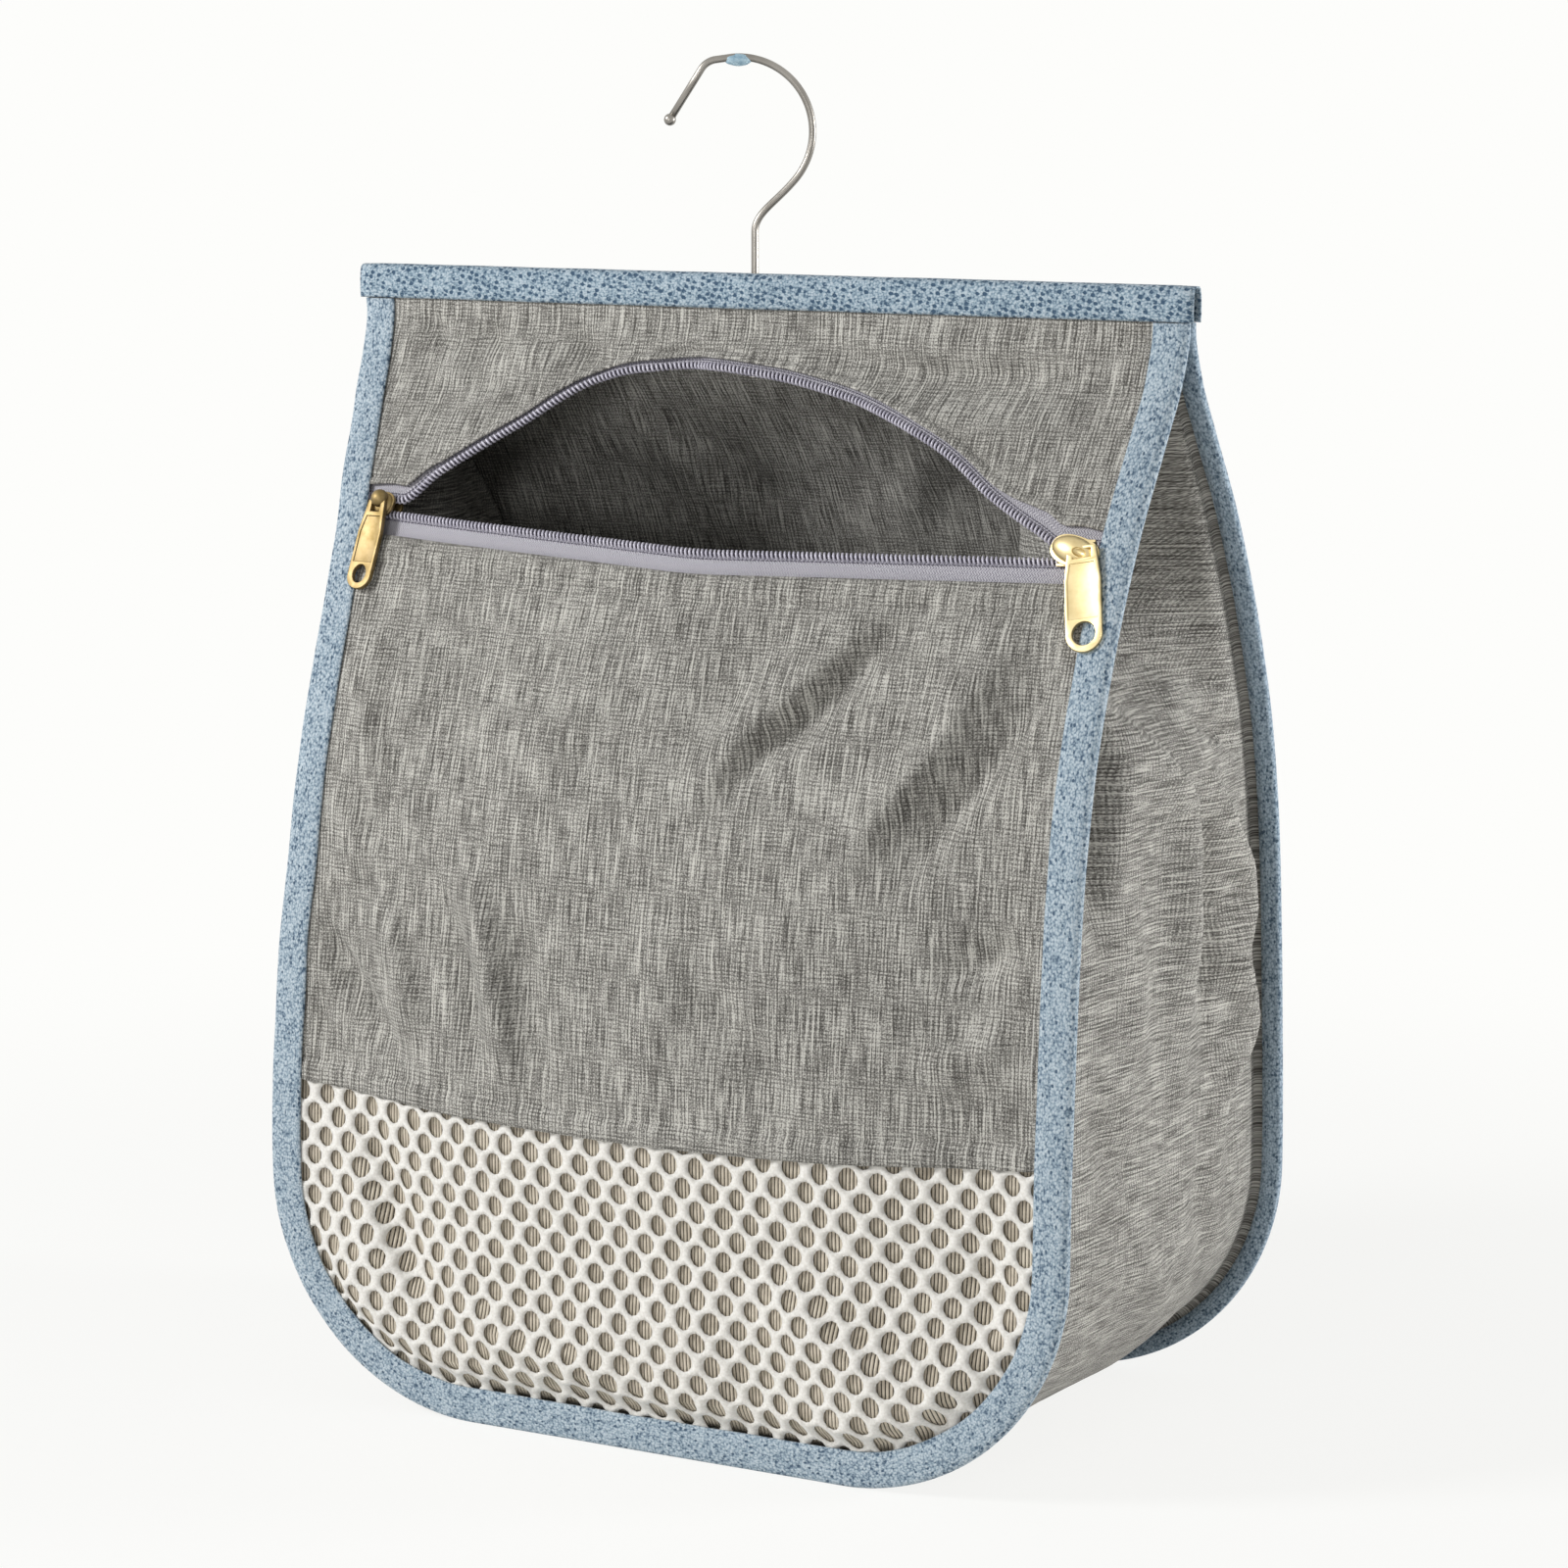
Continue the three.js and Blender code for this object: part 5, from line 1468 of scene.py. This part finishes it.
def hookPieces():
    line = [hookPlace(u, z) for u, z in hookLine()]
    bm = tube(line, hook["wire"], 16)
    bmesh.ops.create_uvsphere(bm, u_segments=24, v_segments=16, radius=hook["tip"] * mm,
                              matrix=Matrix.Translation(line[-1]))
    finishPiece("hookWire", bm, [satinWire], "hook_wire", "hook")
    bead = bmesh.new()
    bmesh.ops.create_uvsphere(bead, u_segments=40, v_segments=24, radius=mm)
    for vert in bead.verts:
        lump = 1 + hook["sleeveUneven"] * noise.noise(vert.co / mm * 1.6)
        vert.co = [part * size * lump for part, size in zip(vert.co, hook["sleeve"])]
    turn = Matrix.Rotation(math.radians(hook["turn"]), 4, "Z")
    bmesh.ops.transform(bead, matrix=Matrix.Translation(hookPlace(*hook["sleevePlace"])) @ turn,
                        verts=bead.verts)
    finishPiece("hookSleeve", bead, [sleeveVinyl], "hook_sleeve", "hook")


hookPieces()

# The swivel's inner pieces keep their own shapes and get their finishes
for nodeName, material in (("hanger_bar", innerNylon), ("swivel_bush", innerNylon),
                           ("swivel_washer", satinWire), ("hook_collar", satinWire)):
    node = frame["nodes"][nodeName]
    node.data.materials.clear()
    node.data.materials.append(material)
print("hook made")


# Stage, lights and camera

stage = {
    "floor": 6.0,
    "floorColour": "#f4f3f0",
    "backdrop": "#fdfdfb",
    "glow": 0.86,  # how much of the floor's white the camera sees without any lamp
    "fade": (0.25, 0.75),  # from here to here the floor turns into the plain backdrop, in metres
    "ambient": 0.24,
    # name, place, what it points at, size in metres and power
    "lamps": [("key", (-1.22, -1.38, 1.2), (0, 0, 0.15), 0.6, 30.5),
              ("front", (0.2, -1.9, 0.45), (0, 0, 0.25), 0.4, 4.6),
              ("side", (1.66, 0.8, 0.4), (0, 0, 0.15), 0.5, 24)],
    "lens": 106.58,
    "place": (0.68611, -1.20420, 0.40943),
    "azimuth": 29.388,
    "elevation": 9.055,
}


# 1 where the backdrop is looked at, or seen in metal and glass, and 0 for the light on the bag
def seenDirectly(tree):
    rays = addNode(tree, "LightPath")
    seen = addNode(tree, "Math", {"operation": "MAXIMUM", 0: rays.outputs["Is Camera Ray"],
                                  1: rays.outputs["Is Glossy Ray"]})
    return addNode(tree, "Math", {"operation": "MAXIMUM", 0: seen, 1: rays.outputs["Is Transmission Ray"]})


# The floor takes the bag's shadow; further off it is as white as the backdrop
def makeFloor():
    bm = bmesh.new()
    bmesh.ops.create_grid(bm, x_segments=1, y_segments=1, size=stage["floor"] / 2)
    mesh = newMesh("floor", bm)
    material, tree, shader = newMaterial("paleFloor", {
        "Base Color": colour(stage["floorColour"]), "Roughness": 0.95, "Specular IOR Level": 0.0})
    white = colour(stage["backdrop"])
    catcher = addNode(tree, "BsdfDiffuse", {"Color": (*[1 - stage["glow"]] * 3, 1)})
    glow = addNode(tree, "Emission", {"Color": white, "Strength": stage["glow"]})
    lit = addNode(tree, "AddShader", {0: catcher, 1: glow})
    plain = addNode(tree, "Emission", {"Color": white, "Strength": 1.0})
    coords = addNode(tree, "TexCoord").outputs["Object"]
    away = addNode(tree, "VectorMath", {"operation": "LENGTH", 0: coords}).outputs["Value"]
    far = addNode(tree, "MapRange", {"interpolation_type": "SMOOTHSTEP", "From Min": stage["fade"][0],
                                     "From Max": stage["fade"][1], "Value": away})
    shown = addNode(tree, "MixShader", {0: far, 1: lit, 2: plain})
    mix = addNode(tree, "MixShader", {0: seenDirectly(tree), 1: shader, 2: shown})
    tree.links.new(mix.outputs[0], tree.nodes["Material Output"].inputs["Surface"])
    mesh.materials.append(material)
    newObject("floor", mesh)


def makeWorld():
    world = bpy.data.worlds.new("studio")
    world.use_nodes = True
    bpy.context.scene.world = world
    tree = world.node_tree
    tree.nodes.clear()
    soft = addNode(tree, "Background", {"Color": (1, 1, 1, 1), "Strength": stage["ambient"]})
    white = addNode(tree, "Background", {"Color": colour(stage["backdrop"]), "Strength": 1.0})
    mix = addNode(tree, "MixShader", {0: seenDirectly(tree), 1: soft, 2: white})
    addNode(tree, "OutputWorld", {"Surface": mix})


# Puts a lamp or a camera in its place, looking along a direction
def aimed(name, data, place, direction):
    made = newObject(name, data)
    made.location = place
    made.rotation_mode = "QUATERNION"
    made.rotation_quaternion = direction.to_track_quat("-Z", "Y")
    return made


def makeLamp(name, place, target, size, power):
    data = bpy.data.lights.new(name, "AREA")
    data.shape = "DISK"
    data.size = size
    data.energy = power
    aimed(name, data, place, Vector(target) - Vector(place))


def makeCamera():
    data = bpy.data.cameras.new("camera")
    data.lens = stage["lens"]
    data.sensor_width = 36
    data.clip_start, data.clip_end = 0.05, 20
    a, e = math.radians(stage["azimuth"]), math.radians(stage["elevation"])
    ahead = Vector((-math.sin(a) * math.cos(e), math.cos(a) * math.cos(e), -math.sin(e)))
    bpy.context.scene.camera = aimed("camera", data, stage["place"], ahead)


makeFloor()
makeWorld()
for lamp in stage["lamps"]:
    makeLamp(*lamp)
makeCamera()
bpy.context.scene.view_settings.view_transform = "Standard"
print("stage made")
